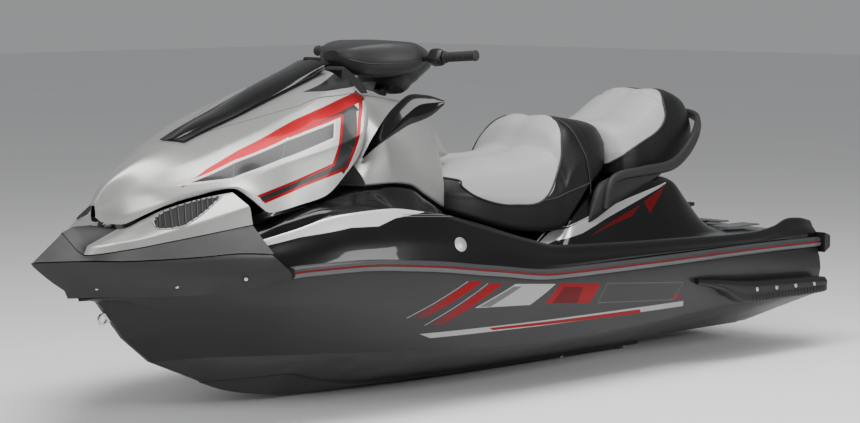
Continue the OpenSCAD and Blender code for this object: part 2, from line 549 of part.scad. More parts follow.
module boarding_step() color([0.6, 0.6, 0.62]) place() {
    translate([36, 0, step_z]) {
        for (y = [-260, 204]) translate([0, y, 0]) rotate([-90, 0, 0])
            cylinder(h = 56, r = 9);
        tube([[0, 232, -14], [0, 232, step_len - 30],
            [0, 228, step_len - 13], [0, 219, step_len - 4],
            [0, 202, step_len], [0, -202, step_len],
            [0, -219, step_len - 4], [0, -228, step_len - 13],
            [0, -232, step_len - 30], [0, -232, -14]], step_r, [1, 0, 0], 12);
    }
}
module step_brackets() color([0.5, 0.5, 0.52]) place() sides()
    for (y = [206, 248]) translate([0, y, 0]) difference() {
        translate([20, 0, step_z - 22]) cube([38, 10, 44]);
        translate([36, -1, step_z]) rotate([-90, 0, 0])
            cylinder(h = 12, r = 9.4);
    }

// ---------- engine and jet pump ----------
module engine_block() color([0.3, 0.3, 0.3]) place()
    translate([1055, -190, 118]) cube([795, 380, 350]);
module along_x(x) translate([x, 0, shaft_z]) rotate([0, 90, 0]) children();
module pump_housing() color([0.25, 0.25, 0.26]) place() {
    along_x(0) rotate_extrude() polygon([[48, 222], [42, 222], [duct_r, 330],
        [duct_r, 625], [104, 625], [104, 612], [duct_r + 10, 612],
        [duct_r + 10, 330]]);
    // fixed hub and vanes behind the impeller
    along_x(330) cylinder(h = 130, r1 = 20, r2 = 26);
    for (i = [0 : 4]) along_x(360) rotate([0, 0, i * 72 + 20])
        translate([0, -2, 0]) translate([20, 0, 0])
        cube([duct_r - 19, 4, 80]);
    // ears that carry the steering nozzle
    for (s = [-1, 1]) difference() {
        union() {
            translate([215, 0, shaft_z + s * 85 - 4]) cylinder(h = 8, r = 18);
            translate([215, -18, shaft_z + s * 85 - 4]) cube([130, 36, 8]);
        }
        translate([215, 0, shaft_z + s * 85 - 6]) cylinder(h = 12, r = 7.4);
    }
}
module drive_shaft() color([0.7, 0.7, 0.72]) place()
    along_x(560) cylinder(h = 485, r = shaft_r);
module impeller() color([0.75, 0.75, 0.77]) place() {
    along_x(475) cylinder(h = 85, r1 = 26, r2 = 20);
    intersection() {
        along_x(475) cylinder(h = 85, r = duct_r - tip_gap);
        for (i = [0 : blades - 1]) along_x(517)
            rotate([0, 0, i * 360 / blades]) rotate([38, 0, 0])
            translate([12, -2, -45]) cube([90, 4, 90]);
    }
}
module steering_nozzle() color([0.28, 0.28, 0.29]) place() {
    along_x(0) rotate_extrude() polygon([[42, 100], [48, 100], [76, 190],
        [76, 225], [70, 225], [70, 190]]);
    for (s = [-1, 1]) translate([215, 0, shaft_z + s * 81 - 10])
        cylinder(h = 20, r = 7);
    for (s = [-1, 1]) translate([200, s * 82, shaft_z]) rotate([90, 0, 0])
        translate([0, 0, -10]) cylinder(h = 20, r = 6);
}
module reverse_bucket() color([0.3, 0.3, 0.31]) place()
    translate([200, 0, shaft_z]) rotate([0, 78, 0]) {
        difference() {
            rotate([90, 0, 0]) translate([0, 0, -88])
                cylinder(h = 176, r = 122);
            rotate([90, 0, 0]) translate([0, 0, -82])
                cylinder(h = 164, r = 114);
            rotate([90, 0, 0]) translate([0, 0, -95])
                cylinder(h = 190, r = 6.4);
            // keep only the sector round -X
            for (s = [-1, 1]) rotate([0, s * 48, 0])
                translate([-150, -95, s > 0 ? 0 : -300])
                cube([450, 190, 300]);
        }
        sides() translate([0, 82, 0]) rotate([-90, 0, 0]) difference() {
            cylinder(h = 6, r = 16);
            translate([0, 0, -1]) cylinder(h = 8, r = 6.4);
        }
    }
module ride_plate() color([0.3, 0.3, 0.31]) place() {
    translate([85, -148, 49]) cube([545, 296, 8]);
    for (y = [-140, -112, 107, 135]) translate([95, y, 57]) cube([500, 5, 10]);
}
module intake_grate() color([0.65, 0.65, 0.67]) place() {
    for (y = [-72, -36, 0, 36, 72]) rod([700, y, 14], [1050, y, 14], 5);
    translate([690, -93, 8]) cube([16, 186, 12]);
    translate([1044, -93, 8]) cube([16, 186, 12]);
}

// ---------- eyes and plugs ----------
module ring_eye(r, t, w) difference() {
    union() {
        rotate([90, 0, 0]) translate([0, 0, -w / 2])
            cylinder(h = w, r = r + t);
        translate([-r - t - 14, -w / 2, -r * 0.8])
            cube([t + 16, w, r * 1.6]);
    }
    rotate([90, 0, 0]) translate([0, 0, -w / 2 - 1])
        cylinder(h = w + 2, r = r);
}
module bow_eye() color([0.7, 0.7, 0.72]) place()
    translate([3094, 0, 335]) ring_eye(eye_r, 7, 10);
module stern_eyes() color([0.7, 0.7, 0.72]) place() sides()
    translate([28, 330, 290]) mirror([1, 0, 0]) ring_eye(stern_eye_r, 6, 9);
module drain_plugs() color([0.1, 0.1, 0.1]) place() sides()
    translate([48, 285, 250]) rotate([0, 90, 0]) cylinder(h = 11, r = 16);

hull();
deck();
rub_rails();
bow_bumper();
nose_cover();
intake_surround();
intake_grilles();
front_hatch();
hatch_ridge();
storage_bin();
fuel_cap();
console();
meter_visor();
instrument_panel();
mirror_housings();
mirror_glass();
glove_box_lid();
reverse_lever();
handlebar();
handle_pad();
grips();
control_pods();
throttle_lever();
front_seat();
rear_seat();
grab_rail();
tow_hook();
traction_mats();
stern_bumpers();
sponsons();
boarding_step();
step_brackets();
engine_block();
pump_housing();
drive_shaft();
impeller();
steering_nozzle();
reverse_bucket();
ride_plate();
intake_grate();
bow_eye();
stern_eyes();
drain_plugs();
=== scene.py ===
import json
import math
import bmesh
import bpy
from mathutils import Vector, Matrix


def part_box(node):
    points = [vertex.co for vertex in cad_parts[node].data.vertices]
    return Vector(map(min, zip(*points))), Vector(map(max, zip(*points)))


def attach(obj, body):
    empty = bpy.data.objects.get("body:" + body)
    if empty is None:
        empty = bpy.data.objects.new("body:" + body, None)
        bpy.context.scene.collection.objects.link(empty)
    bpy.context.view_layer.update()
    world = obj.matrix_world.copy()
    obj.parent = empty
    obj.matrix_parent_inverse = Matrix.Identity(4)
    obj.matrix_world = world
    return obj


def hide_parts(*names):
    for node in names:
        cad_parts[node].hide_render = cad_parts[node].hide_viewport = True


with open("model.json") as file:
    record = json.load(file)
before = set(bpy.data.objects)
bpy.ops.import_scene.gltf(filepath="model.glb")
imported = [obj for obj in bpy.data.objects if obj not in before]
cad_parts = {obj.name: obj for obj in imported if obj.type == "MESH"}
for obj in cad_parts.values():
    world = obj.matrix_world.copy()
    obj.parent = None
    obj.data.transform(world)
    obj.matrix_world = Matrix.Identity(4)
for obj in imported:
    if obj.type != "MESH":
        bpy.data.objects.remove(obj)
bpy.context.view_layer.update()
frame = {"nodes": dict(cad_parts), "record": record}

NODES = frame["nodes"]

# ---------------------------------------------------------------- camera
cam_data = bpy.data.cameras.new("camera")
cam = bpy.data.objects.new("camera", cam_data)
bpy.context.scene.collection.objects.link(cam)
back = Vector((0.7096, 0.6973, 0.1011)).normalized()
right = Vector((0, 0, 1)).cross(back).normalized()
up = back.cross(right)
cam.matrix_world = Matrix((
    (right.x, up.x, back.x, 6.386), (right.y, up.y, back.y, 6.276),
    (right.z, up.z, back.z, 1.160), (0, 0, 0, 1)))
cam_data.sensor_width = 36.0
cam_data.lens = 108.33
cam_data.shift_x = 0.0093
cam_data.shift_y = 0.0258
cam_data.clip_end = 200
bpy.context.scene.camera = cam

# ---------------------------------------------------------------- stage
FLOOR_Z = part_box("hull")[0].z - 0.002


def mesh_object(name, verts, faces, smooth=True):
    me = bpy.data.meshes.new(name)
    me.from_pydata([tuple(v) for v in verts], [], faces)
    me.update()
    if smooth:
        me.polygons.foreach_set("use_smooth", [True] * len(me.polygons))
    o = bpy.data.objects.new(name, me)
    bpy.context.scene.collection.objects.link(o)
    return o


# ---------------------------------------------------------------- materials
class Mat:
    """A small builder for procedural materials in the row's frame."""

    def __init__(self, name, color=(0.5, 0.5, 0.5), rough=0.5, metal=0.0,
                 coat=0.0, coat_rough=0.03, spec=0.5, sheen=0.0):
        self.m = bpy.data.materials.new(name)
        self.m.use_nodes = True
        self.t = self.m.node_tree
        self.t.nodes.clear()
        out = self.t.nodes.new("ShaderNodeOutputMaterial")
        self.b = self.t.nodes.new("ShaderNodeBsdfPrincipled")
        self.t.links.new(self.b.outputs[0], out.inputs[0])
        i = self.b.inputs
        i["Base Color"].default_value = (*color, 1)
        i["Roughness"].default_value = rough
        i["Metallic"].default_value = metal
        i["Coat Weight"].default_value = coat
        i["Coat Roughness"].default_value = coat_rough
        i["Specular IOR Level"].default_value = spec
        i["Sheen Weight"].default_value = sheen
        self.color = (*color, 1)
        self.rough = rough
        self.metal = metal
        self.height = None
        tc = self.t.nodes.new("ShaderNodeTexCoord")
        self.co = tc.outputs["Object"]
        self._abs = None

    def put(self, socket, v):
        if hasattr(v, "is_output"):
            self.t.links.new(v, socket)
        elif isinstance(v, (tuple, list)):
            socket.default_value = (list(v) + [1])[:len(socket.default_value)]
        else:
            socket.default_value = v

    def math(self, op, a, b=None, c=None, clamp=False):
        n = self.t.nodes.new("ShaderNodeMath")
        n.operation = op
        n.use_clamp = clamp
        for k, v in enumerate((a, b, c)):
            if v is not None:
                self.put(n.inputs[k], v)
        return n.outputs[0]

    def dot(self, v):
        n = self.t.nodes.new("ShaderNodeVectorMath")
        n.operation = "DOT_PRODUCT"
        self.put(n.inputs[0], self.sym())
        n.inputs[1].default_value = v
        return n.outputs["Value"]

    def sym(self):
        """Object coordinates with y made positive, so both sides match."""
        if self._abs is None:
            n = self.t.nodes.new("ShaderNodeVectorMath")
            n.operation = "ABSOLUTE"
            self.put(n.inputs[0], self.co)
            s1 = self.t.nodes.new("ShaderNodeSeparateXYZ")
            s2 = self.t.nodes.new("ShaderNodeSeparateXYZ")
            self.put(s1.inputs[0], self.co)
            self.put(s2.inputs[0], n.outputs[0])
            c = self.t.nodes.new("ShaderNodeCombineXYZ")
            self.put(c.inputs[0], s1.outputs[0])
            self.put(c.inputs[1], s2.outputs[1])
            self.put(c.inputs[2], s1.outputs[2])
            self._abs = c.outputs[0]
        return self._abs

    def scaled(self, sx, sy, sz):
        n = self.t.nodes.new("ShaderNodeVectorMath")
        n.operation = "MULTIPLY"
        self.put(n.inputs[0], self.co)
        n.inputs[1].default_value = (sx, sy, sz)
        return n.outputs[0]

    def noise(self, scale, detail=3, rough=0.5, co=None):
        n = self.t.nodes.new("ShaderNodeTexNoise")
        self.put(n.inputs["Vector"], co or self.co)
        n.inputs["Scale"].default_value = scale
        n.inputs["Detail"].default_value = detail
        n.inputs["Roughness"].default_value = rough
        return n.outputs["Fac"]

    def voronoi(self, scale, feature="F1", co=None):
        n = self.t.nodes.new("ShaderNodeTexVoronoi")
        n.feature = feature
        self.put(n.inputs["Vector"], co or self.co)
        n.inputs["Scale"].default_value = scale
        return n.outputs["Distance"]

    def ramp(self, v, a, b, lo=0.0, hi=1.0):
        n = self.t.nodes.new("ShaderNodeMapRange")
        self.put(n.inputs["Value"], v)
        n.inputs["From Min"].default_value = a
        n.inputs["From Max"].default_value = b
        n.inputs["To Min"].default_value = lo
        n.inputs["To Max"].default_value = hi
        return n.outputs["Result"]

    def mixc(self, f, a, b):
        n = self.t.nodes.new("ShaderNodeMix")
        n.data_type = "RGBA"
        self.put(n.inputs["Factor"], f)
        self.put(n.inputs["A"], a)
        self.put(n.inputs["B"], b)
        return n.outputs["Result"]

    def mixf(self, f, a, b):
        n = self.t.nodes.new("ShaderNodeMix")
        n.data_type = "FLOAT"
        self.put(n.inputs["Factor"], f)
        self.put(n.inputs["A"], a)
        self.put(n.inputs["B"], b)
        return n.outputs["Result"]

    def vary(self, amount=0.06, scale=6.0):
        """Slow, slight change of the base colour over the surface."""
        f = self.ramp(self.noise(scale, 4), 0.3, 0.7, 1 - amount, 1 + amount)
        n = self.t.nodes.new("ShaderNodeVectorMath")
        n.operation = "SCALE"
        self.put(n.inputs[0], self.color)
        self.put(n.inputs["Scale"], f)
        self.color = n.outputs[0]
        return self

    def vary_rough(self, amount=0.05, scale=9.0):
        self.rough = self.math("ADD", self.rough,
                               self.ramp(self.noise(scale, 5), 0.3, 0.7,
                                         -amount, amount))
        return self

    def layer(self, mask, color=None, rough=None, metal=None):
        if color is not None:
            c = color if hasattr(color, "is_output") else (*color, 1)
            self.color = self.mixc(mask, self.color, c)
        if rough is not None:
            self.rough = self.mixf(mask, self.rough, rough)
        if metal is not None:
            self.metal = self.mixf(mask, self.metal, metal)
        return self

    def polygon(self, pts, axes="xz", soft=0.0006, grow=0.0):
        """Mask of a convex outline given in the row frame, on both sides."""
        k = {"xz": (0, 2), "xy": (0, 1), "yz": (1, 2)}[axes]
        n = len(pts)
        area = sum(pts[i][0] * pts[(i + 1) % n][1]
                   - pts[(i + 1) % n][0] * pts[i][1] for i in range(n))
        if area < 0:
            pts = pts[::-1]
        m = None
        for i in range(n):
            (x0, y0), (x1, y1) = pts[i], pts[(i + 1) % n]
            L = math.hypot(x1 - x0, y1 - y0)
            if L < 1e-6:
                continue
            a, b = -(y1 - y0) / L, (x1 - x0) / L
            v = [0.0, 0.0, 0.0]
            v[k[0]], v[k[1]] = a, b
            d = self.math("ADD", self.dot(v), -(a * x0 + b * y0) + grow)
            m = d if m is None else self.math("MINIMUM", m, d)
        return self.math("MULTIPLY_ADD", m, 1 / (2 * soft), 0.5, clamp=True)

    def strip(self, line, axes="xz", soft=0.0006):
        """Mask of a band through (u, v, half width) points."""
        m = None
        for (u0, v0, w0), (u1, v1, w1) in zip(line, line[1:]):
            L = math.hypot(u1 - u0, v1 - v0)
            nu, nv = -(v1 - v0) / L, (u1 - u0) / L
            q = [(u0 + nu * w0, v0 + nv * w0), (u0 - nu * w0, v0 - nv * w0),
                 (u1 - nu * w1, v1 - nv * w1), (u1 + nu * w1, v1 + nv * w1)]
            p = self.polygon(q, axes, soft, grow=soft * 0.5)
            m = p if m is None else self.math("MAXIMUM", m, p)
        return m

    def bump(self, height, distance=0.001, strength=1.0):
        n = self.t.nodes.new("ShaderNodeBump")
        self.put(n.inputs["Height"], height)
        n.inputs["Distance"].default_value = distance
        n.inputs["Strength"].default_value = strength
        if self.height is not None:
            self.put(n.inputs["Normal"], self.height)
        self.height = n.outputs[0]
        return self

    def done(self):
        i = self.b.inputs
        if hasattr(self.color, "is_output"):
            self.put(i["Base Color"], self.color)
        if hasattr(self.rough, "is_output"):
            self.put(i["Roughness"], self.rough)
        if hasattr(self.metal, "is_output"):
            self.put(i["Metallic"], self.metal)
        if self.height is not None:
            self.put(i["Normal"], self.height)
        return self.m


def hull_mat():
    m = Mat("hull_gelcoat", (0.020, 0.020, 0.021), 0.36, 0.0, coat=0.12,
            coat_rough=0.14, spec=0.2)
    m.vary(0.10, 2.5).vary_rough(0.04, 7)
    m.bump(m.noise(900, 2), 0.00015, 0.4)
    RED, SIL = (0.20, 0.0010, 0.004), (0.30, 0.30, 0.295)
    for i, bar in enumerate((
            [(.567, .057), (.355, .163), (.296, .158), (.507, .051)],
            [(.483, .025), (.262, .148), (.200, .143), (.421, .020)])):
        k = m.polygon(bar, "xz", 0.0007)
        fade = m.ramp(m.dot((1, 0, 0)), bar[0][0], bar[0][0] - 0.15, 0.15, 1.0)
        m.layer(m.math("MULTIPLY", k, fade), RED, 0.32, 0.85)
        edge = [(x + 0.012, z) for x, z in (bar[0], bar[1])]
        m.layer(m.strip([(*edge[0], .0008), (*edge[1], .0008)], "xz"),
                (0.3, 0.3, 0.3), 0.3, 0.2)
    m.layer(m.polygon([(.307, .068), (.142, .135), (-.056, .118),
                       (.048, .055)]), SIL, 0.3, 0.6)
    m.layer(m.polygon([(.290, .070), (.150, .127), (.110, .124),
                       (.235, .066)]), (0.10, 0.10, 0.10), 0.3, 0.3)
    m.layer(m.polygon([(.501, -.004), (.453, -.022), (-.801, -.030),
                       (-.793, -.011)]), SIL, 0.3, 0.6)
    m.layer(m.polygon([(.21, -.010), (.19, -.019), (-.56, -.032),
                       (-.548, -.017)]), RED, 0.32, 0.85)
    m.layer(m.polygon([(-.025, .055), (-.08, .119), (-.293, .100),
                       (-.259, .033)]), RED, 0.32, 0.85)
    m.layer(m.polygon([(-.06, .050), (-.10, .105), (-.20, .095),
                       (-.19, .040)]), (0.09, 0.0005, 0.002), 0.32, 0.85)
    m.layer(m.polygon([(-.70, .002), (-.748, .023), (-.778, .009)]),
            RED, 0.32, 0.85)
    # outlined panel behind the patch: a plain pale frame
    fr = m.polygon([(-.325, .098), (-.30, .028), (-.735, -.002),
                    (-.765, .062)])
    fr2 = m.polygon([(-.325, .098), (-.30, .028), (-.735, -.002),
                     (-.765, .062)], grow=-0.0035)
    m.layer(m.math("SUBTRACT", fr, fr2, clamp=True), (0.06, 0.06, 0.06),
            0.3, 0.3)
    m.coat = True
    return m.done()


def gloss_black(name="deck_gloss", art=None):
    m = Mat(name, (0.003, 0.003, 0.0033), 0.25, 0.0, coat=0.4,
            coat_rough=0.03, spec=0.15)
    m.vary(0.12, 3).vary_rough(0.03, 5)
    m.bump(m.noise(60, 2), 0.0002, 0.15)
    if art == "side":
        # silver swoosh under the gunwale's crest
        up_l = [(1.30, .27), (1.208, .304), (1.111, .340), (.977, .378),
                (.797, .412), (.688, .418), (.588, .412), (.45, .398)]
        lo_l = [(1.30, .26), (1.214, .296), (1.126, .311), (.988, .343),
                (.819, .364), (.712, .362), (.636, .382), (.45, .397)]
        mk = None
        for a, b, c, d in zip(up_l, up_l[1:], lo_l[1:], lo_l):
            p = m.polygon([a, b, c, d], "xz", 0.0007, grow=0.0004)
            mk = p if mk is None else m.math("MAXIMUM", mk, p)
        m.layer(mk, (0.62, 0.62, 0.61), 0.25, 0.35)
        for z in (0.0, 0.006):
            m.layer(m.strip([(.60, .385 + z, .0008), (.30, .366 + z, .0008),
                             (.10, .322 + z, .0008)], "xz"),
                    (0.12, 0.12, 0.12), 0.3, 0.2)
    if art == "rear":
        SIL = (0.5, 0.5, 0.49)
        m.layer(m.strip([(-.30, .195, .004), (-.55, .250, .020),
                         (-.85, .325, .012), (-1.075, .378, .002)], "xz"),
                SIL, 0.25, 0.5)
        m.layer(m.polygon([(-.593, .217), (-.899, .307), (-.845, .271)]),
                (0.22, 0.0010, 0.004), 0.32, 0.85)
        m.layer(m.polygon([(-.925, .318), (-1.065, .370), (-.946, .275)]),
                (0.22, 0.0010, 0.004), 0.32, 0.85)
        m.layer(m.strip([(-.30, .206, .001), (-.45, .250, .001),
                         (-.62, .290, .001)], "xz"), SIL, 0.25, 0.3)
    return m.done()


def silver(name="silver_paint", art=False):
    m = Mat(name, (0.36, 0.36, 0.35), 0.36, 0.6, coat=0.15,
            coat_rough=0.07, spec=0.25)
    m.vary(0.04, 3).vary_rough(0.03, 8)
    m.bump(m.noise(1600, 1), 0.0001, 0.35)
    if art:
        RED, DRK = (0.23, 0.0010, 0.005), (0.008, 0.008, 0.0085)
        m.layer(m.strip([(1.0, .603, .001), (.83, .664, .006),
                         (.70, .699, .010), (.62, .716, .014),
                         (.585, .727, .014)]), DRK, 0.3, 0.2)
        m.layer(m.strip([(.612, .728, .024), (.695, .610, .026),
                         (.752, .535, .026)]), DRK, 0.3, 0.2)
        m.layer(m.strip([(.735, .545, .012), (.905, .503, .0085),
                         (1.062, .459, .0085)]), DRK, 0.3, 0.2)
        m.layer(m.strip([(1.244, .498, .001), (1.16, .545, .006),
                         (1.04, .597, .010), (.90, .650, .013),
                         (.82, .677, .014), (.742, .700, .014),
                         (.613, .736, .013), (.520, .760, .013)]),
                RED, 0.34, 0.85)
        m.layer(m.strip([(.524, .772, .005), (.605, .683, .0045),
                         (.717, .537, .0045), (.894, .496, .0035),
                         (1.056, .449, .0035)]), RED, 0.34, 0.85)
        m.layer(m.strip([(1.02, .592, .001), (.83, .657, .003),
                         (.655, .701, .004), (.728, .610, .004),
                         (.772, .551, .004), (.927, .509, .003),
                         (1.068, .467, .003)]), RED, 0.34, 0.85)
        for g, c in ((0.0055, (0.62, 0.62, 0.61)), (0.0, (0.02, 0.02, 0.021))):
            mk = None
            for q in ([(1.218, .511), (1.084, .566), (1.11, .524)],
                      [(1.084, .566), (.909, .627), (.952, .577),
                       (1.11, .524)],
                      [(.909, .627), (.705, .677), (.738, .633),
                       (.952, .577)]):
                p = m.polygon(q, "xz", 0.0007, grow=g + 0.0003)
                mk = p if mk is None else m.math("MAXIMUM", mk, p)
            m.layer(mk, c, 0.25, 0.0)
        # dark wedge by the ridge, and the fine panel line above it
        m.layer(m.polygon([(.684, .769), (.500, .823), (.486, .786)]),
                (0.01, 0.01, 0.01), 0.2, 0.0)
        m.layer(m.strip([(1.049, .057, .0012), (.913, .132, .0014),
                         (.770, .200, .0014), (.510, .236, .0014)], "xy"),
                (0.03, 0.03, 0.03), 0.4, 0.0)
    return m.done()


def matte_dark(name="matte_moulding", c=(0.024, 0.024, 0.025), r=0.45):
    m = Mat(name, c, r, 0.0, spec=0.25)
    m.vary(0.08, 5).vary_rough(0.05, 12)
    m.bump(m.noise(700, 3, 0.6), 0.0003, 0.35)
    return m.done()


def black_plastic():
    m = Mat("black_plastic", (0.007, 0.007, 0.0075), 0.42, spec=0.35)
    m.vary(0.1, 8).vary_rough(0.06, 14)
    m.bump(m.noise(800, 3, 0.6), 0.0003, 0.3)
    return m.done()


def vinyl(name, c, r=0.42, other=None, line=None, limit=None):
    m = Mat(name, c, r, spec=0.25, sheen=0.0)
    m.vary(0.05, 5)
    if line:
        # other colour above a boundary line in the side view
        n = m.t.nodes.new("ShaderNodeFloatCurve")
        x = m.math("MULTIPLY_ADD", m.dot((1, 0, 0)), 0.5, 0.6)
        m.put(n.inputs["Value"], x)
        cv = n.mapping.curves[0]
        while len(cv.points) > 2:
            cv.points.remove(cv.points[0])
        P = [(q[0] * 0.5 + 0.6, q[1]) for q in line]
        cv.points[0].location = P[0]
        cv.points[1].location = P[-1]
        for q in P[1:-1]:
            cv.points.new(*q)
        for q in cv.points:
            q.handle_type = "AUTO"
        n.mapping.update()
        d = m.math("SUBTRACT", m.dot((0, 0, 1)), n.outputs[0])
        mk = m.math("MULTIPLY_ADD", d, 700.0, 0.5, clamp=True)
        m.layer(mk, other)
    m.vary_rough(0.06, 10)
    m.bump(m.voronoi(420, "DISTANCE_TO_EDGE"), 0.0006, 0.25)
    m.bump(m.noise(260, 4, 0.6), 0.0006, 0.2)
    return m.done()


def mat_foam():
    m = Mat("mat_foam", (0.11, 0.11, 0.115), 0.85)
    m.vary(0.1, 14)
    w = m.math("SINE", m.math("MULTIPLY", m.dot((1, 0.6, 0)), 520))
    w2 = m.math("SINE", m.math("MULTIPLY", m.dot((1, -0.6, 0)), 520))
    m.bump(m.math("MAXIMUM", w, w2), 0.0012, 0.6)
    m.bump(m.noise(900, 3), 0.0004, 0.5)
    return m.done()


def stainless():
    m = Mat("stainless", (0.55, 0.55, 0.55), 0.28, 1.0)
    m.vary(0.06, 20)
    m.rough = m.ramp(m.noise(90, 4, 0.6, m.scaled(0.15, 4, 4)), 0.3, 0.7,
                     0.2, 0.38)
    m.bump(m.noise(260, 3, 0.6, m.scaled(0.1, 3, 3)), 0.0003, 0.15)
    return m.done()


def cast_alloy():
    m = Mat("cast_alloy", (0.13, 0.13, 0.135), 0.5, 0.6)
    m.vary(0.1, 16).vary_rough(0.08, 20)
    m.bump(m.noise(320, 4, 0.65), 0.0008, 0.45)
    return m.done()


def grip_rubber():
    m = Mat("grip_rubber", (0.012, 0.012, 0.012), 0.75)
    m.vary(0.1, 30)
    s = m.math("SINE", m.math("MULTIPLY", m.dot((0, 1, 0)), 1100))
    m.bump(s, 0.0012, 0.8)
    return m.done()


def display():
    m = Mat("display", (0.02, 0.024, 0.022), 0.12, coat=0.6)
    m.vary(0.1, 40)
    m.bump(m.noise(120, 1), 0.0001, 0.1)
    return m.done()


def mirror():
    m = Mat("mirror_face", (0.85, 0.87, 0.88), 0.03, 1.0)
    m.vary(0.02, 10)
    m.bump(m.noise(30, 1), 0.0001, 0.05)
    return m.done()


def dark_metal():
    m = Mat("dark_metal", (0.02, 0.02, 0.021), 0.38, 0.5)
    m.vary(0.08, 12).vary_rough(0.05, 16)
    m.bump(m.noise(900, 2), 0.0002, 0.3)
    return m.done()


# boundary lines on the seats, side view, row frame
RIM_F = [(.09, .462), (.001, .447), (-.003, .424), (-.042, .392),
         (-.128, .363), (-.219, .351), (-.347, .358), (-.459, .459),
         (-.508, .561), (-.553, .634)]
SEAM_F1 = [(-.347, .358), (-.420, .366), (-.492, .384), (-.610, .405)]
SEAM_F2 = [(-.559, .634), (-.570, .590), (-.584, .524), (-.610, .423),
           (-.618, .370)]
RIM_R = [(-.815, .459), (-.88, .508), (-1.031, .567), (-1.095, .616),
         (-1.118, .681), (-1.160, .712)]

MATS = {
    "hull_gelcoat": hull_mat(), "deck_gloss": gloss_black(),
    "deck_side": gloss_black("deck_side", "side"),
    "rear_panel": gloss_black("rear_panel", "rear"),
    "rail_vinyl": matte_dark("rail_vinyl", (0.035, 0.035, 0.037), 0.4),
    "rail_lip": matte_dark("rail_lip", (0.09, 0.09, 0.093), 0.4),
    "red_stripe": matte_dark("red_stripe", (0.17, 0.001, 0.002), 0.35),
    "matte_moulding": matte_dark(), "silver_paint": silver(),
    "hatch_silver": silver("hatch_silver", True),
    "disc_silver": silver("disc_silver"),
    "black_plastic": black_plastic(), "display": display(),
    "grille_dark": matte_dark("grille_dark", (0.012, 0.012, 0.012), 0.6),
    "mirror_face": mirror(), "dark_metal": dark_metal(),
    "grip_rubber": grip_rubber(),
    "seat_vinyl_black": vinyl("seat_vinyl_black", (0.008, 0.008, 0.0085)),
    "seat_vinyl_silver": vinyl("seat_vinyl_silver", (0.34, 0.34, 0.335), 0.4),
    "seat_front": vinyl("seat_front", (0.007, 0.007, 0.0075), 0.4,
                        (0.34, 0.345, 0.335, 1),
                        [(-1.2, .95), (-.60, .95), (-.59, .66)]
                        + RIM_F[::-1]),
    "seat_rear": vinyl("seat_rear", (0.007, 0.007, 0.0075), 0.4,
                       (0.34, 0.345, 0.335, 1),
                       [(-1.2, .80), (-1.165, .72)] + RIM_R[::-1]
                       + [(-.78, .44)]),
    "piping": matte_dark("piping", (0.03, 0.03, 0.03), 0.45),
    "mat_foam": mat_foam(), "stainless": stainless(),
    "cast_alloy": cast_alloy(),
}
SLOT_OF = {s["node"]: s["material_slot"] for s in frame["record"]["subparts"]}
for name, o in NODES.items():
    o.data.materials.clear()
    o.data.materials.append(MATS[SLOT_OF[name]])

# ---------------------------------------------------------------- tables
# lines of the craft in mm: x from the stern, half breadth, height over keel
KEEL = [[60, 0, 12], [300, 0, 5], [800, 0, 0], [2100, 0, 0], [2350, 0, 12],
    [2500, 0, 34], [2600, 0, 56], [2650, 0, 72]]
STRAKE = [[60, 110, 22], [800, 105, 16], [1500, 105, 15], [2080, 105, 30],
    [2290, 120, 64], [2465, 130, 105], [2600, 70, 100], [2700, 8, 92]]
MID = [[60, 330, 124], [1100, 330, 110], [1550, 330, 104], [2100, 330, 130],
    [2300, 330, 160], [2420, 325, 182], [2540, 220, 160], [2640, 120, 142],
    [2735, 8, 110]]
CHINE = [[60, 500, 192], [620, 500, 190], [1100, 508, 172], [1540, 510, 164],
    [1910, 490, 171], [2240, 430, 190], [2450, 360, 197], [2675, 250, 202],
    [2805, 120, 196], [2912, 8, 182]]
CHINE2 = [[60, 506, 212], [630, 508, 206], [1090, 518, 197], [1525, 522, 194],
    [1910, 502, 208], [2105, 485, 222], [2590, 362, 258], [2855, 180, 275],
    [3020, 8, 268]]
KNUCKLE = [[60, 522, 290], [1500, 552, 292], [2000, 545, 322],
    [2335, 528, 368], [2680, 440, 380], [2915, 236, 368], [3050, 92, 386],
    [3120, 8, 392]]
BOND = [[60, 500, 390], [150, 508, 392], [600, 548, 400], [1200, 568, 401],
    [1640, 576, 404], [1940, 576, 438], [2250, 566, 478], [2525, 536, 498],
    [2735, 468, 490], [2830, 394, 468], [2920, 316, 450], [3000, 222, 436],
    [3060, 160, 430], [3140, 60, 424], [3185, 8, 420]]
TUB = [[60, 0, 325], [650, 0, 320], [900, 0, 290], [2050, 0, 290],
    [2350, 0, 340], [2700, 0, 398], [2950, 0, 410], [3185, 0, 400]]
INSET = [[60, 48], [2050, 50], [2350, 85], [2700, 105], [3185, 110]]
CREST = [[60, 468, 468], [130, 476, 482], [200, 480, 486], [320, 498, 466],
    [475, 516, 455], [915, 536, 464], [1265, 544, 474], [1585, 544, 488],
    [1720, 540, 516], [1975, 528, 586], [2165, 508, 638], [2335, 488, 661],
    [2535, 466, 652], [2670, 430, 617], [2780, 382, 585], [2870, 335, 556],
    [2930, 290, 545], [2985, 232, 532]]
WELL_OUT = [[60, 425, 422], [450, 455, 428], [620, 465, 405], [800, 470, 345],
    [1000, 475, 328], [1900, 465, 328], [2050, 455, 400], [2200, 452, 580],
    [2300, 440, 670], [2535, 425, 668], [2670, 396, 635], [2770, 345, 600],
    [2870, 300, 568], [2985, 205, 540]]
WELL_IN = [[60, 260, 424], [450, 275, 430], [620, 280, 408], [800, 285, 347],
    [1000, 285, 330], [1255, 285, 330], [1700, 275, 330], [1900, 305, 335],
    [2050, 345, 430], [2200, 375, 640], [2300, 385, 695], [2535, 392, 678],
    [2670, 378, 645], [2770, 318, 612], [2870, 262, 580], [2985, 175, 545]]
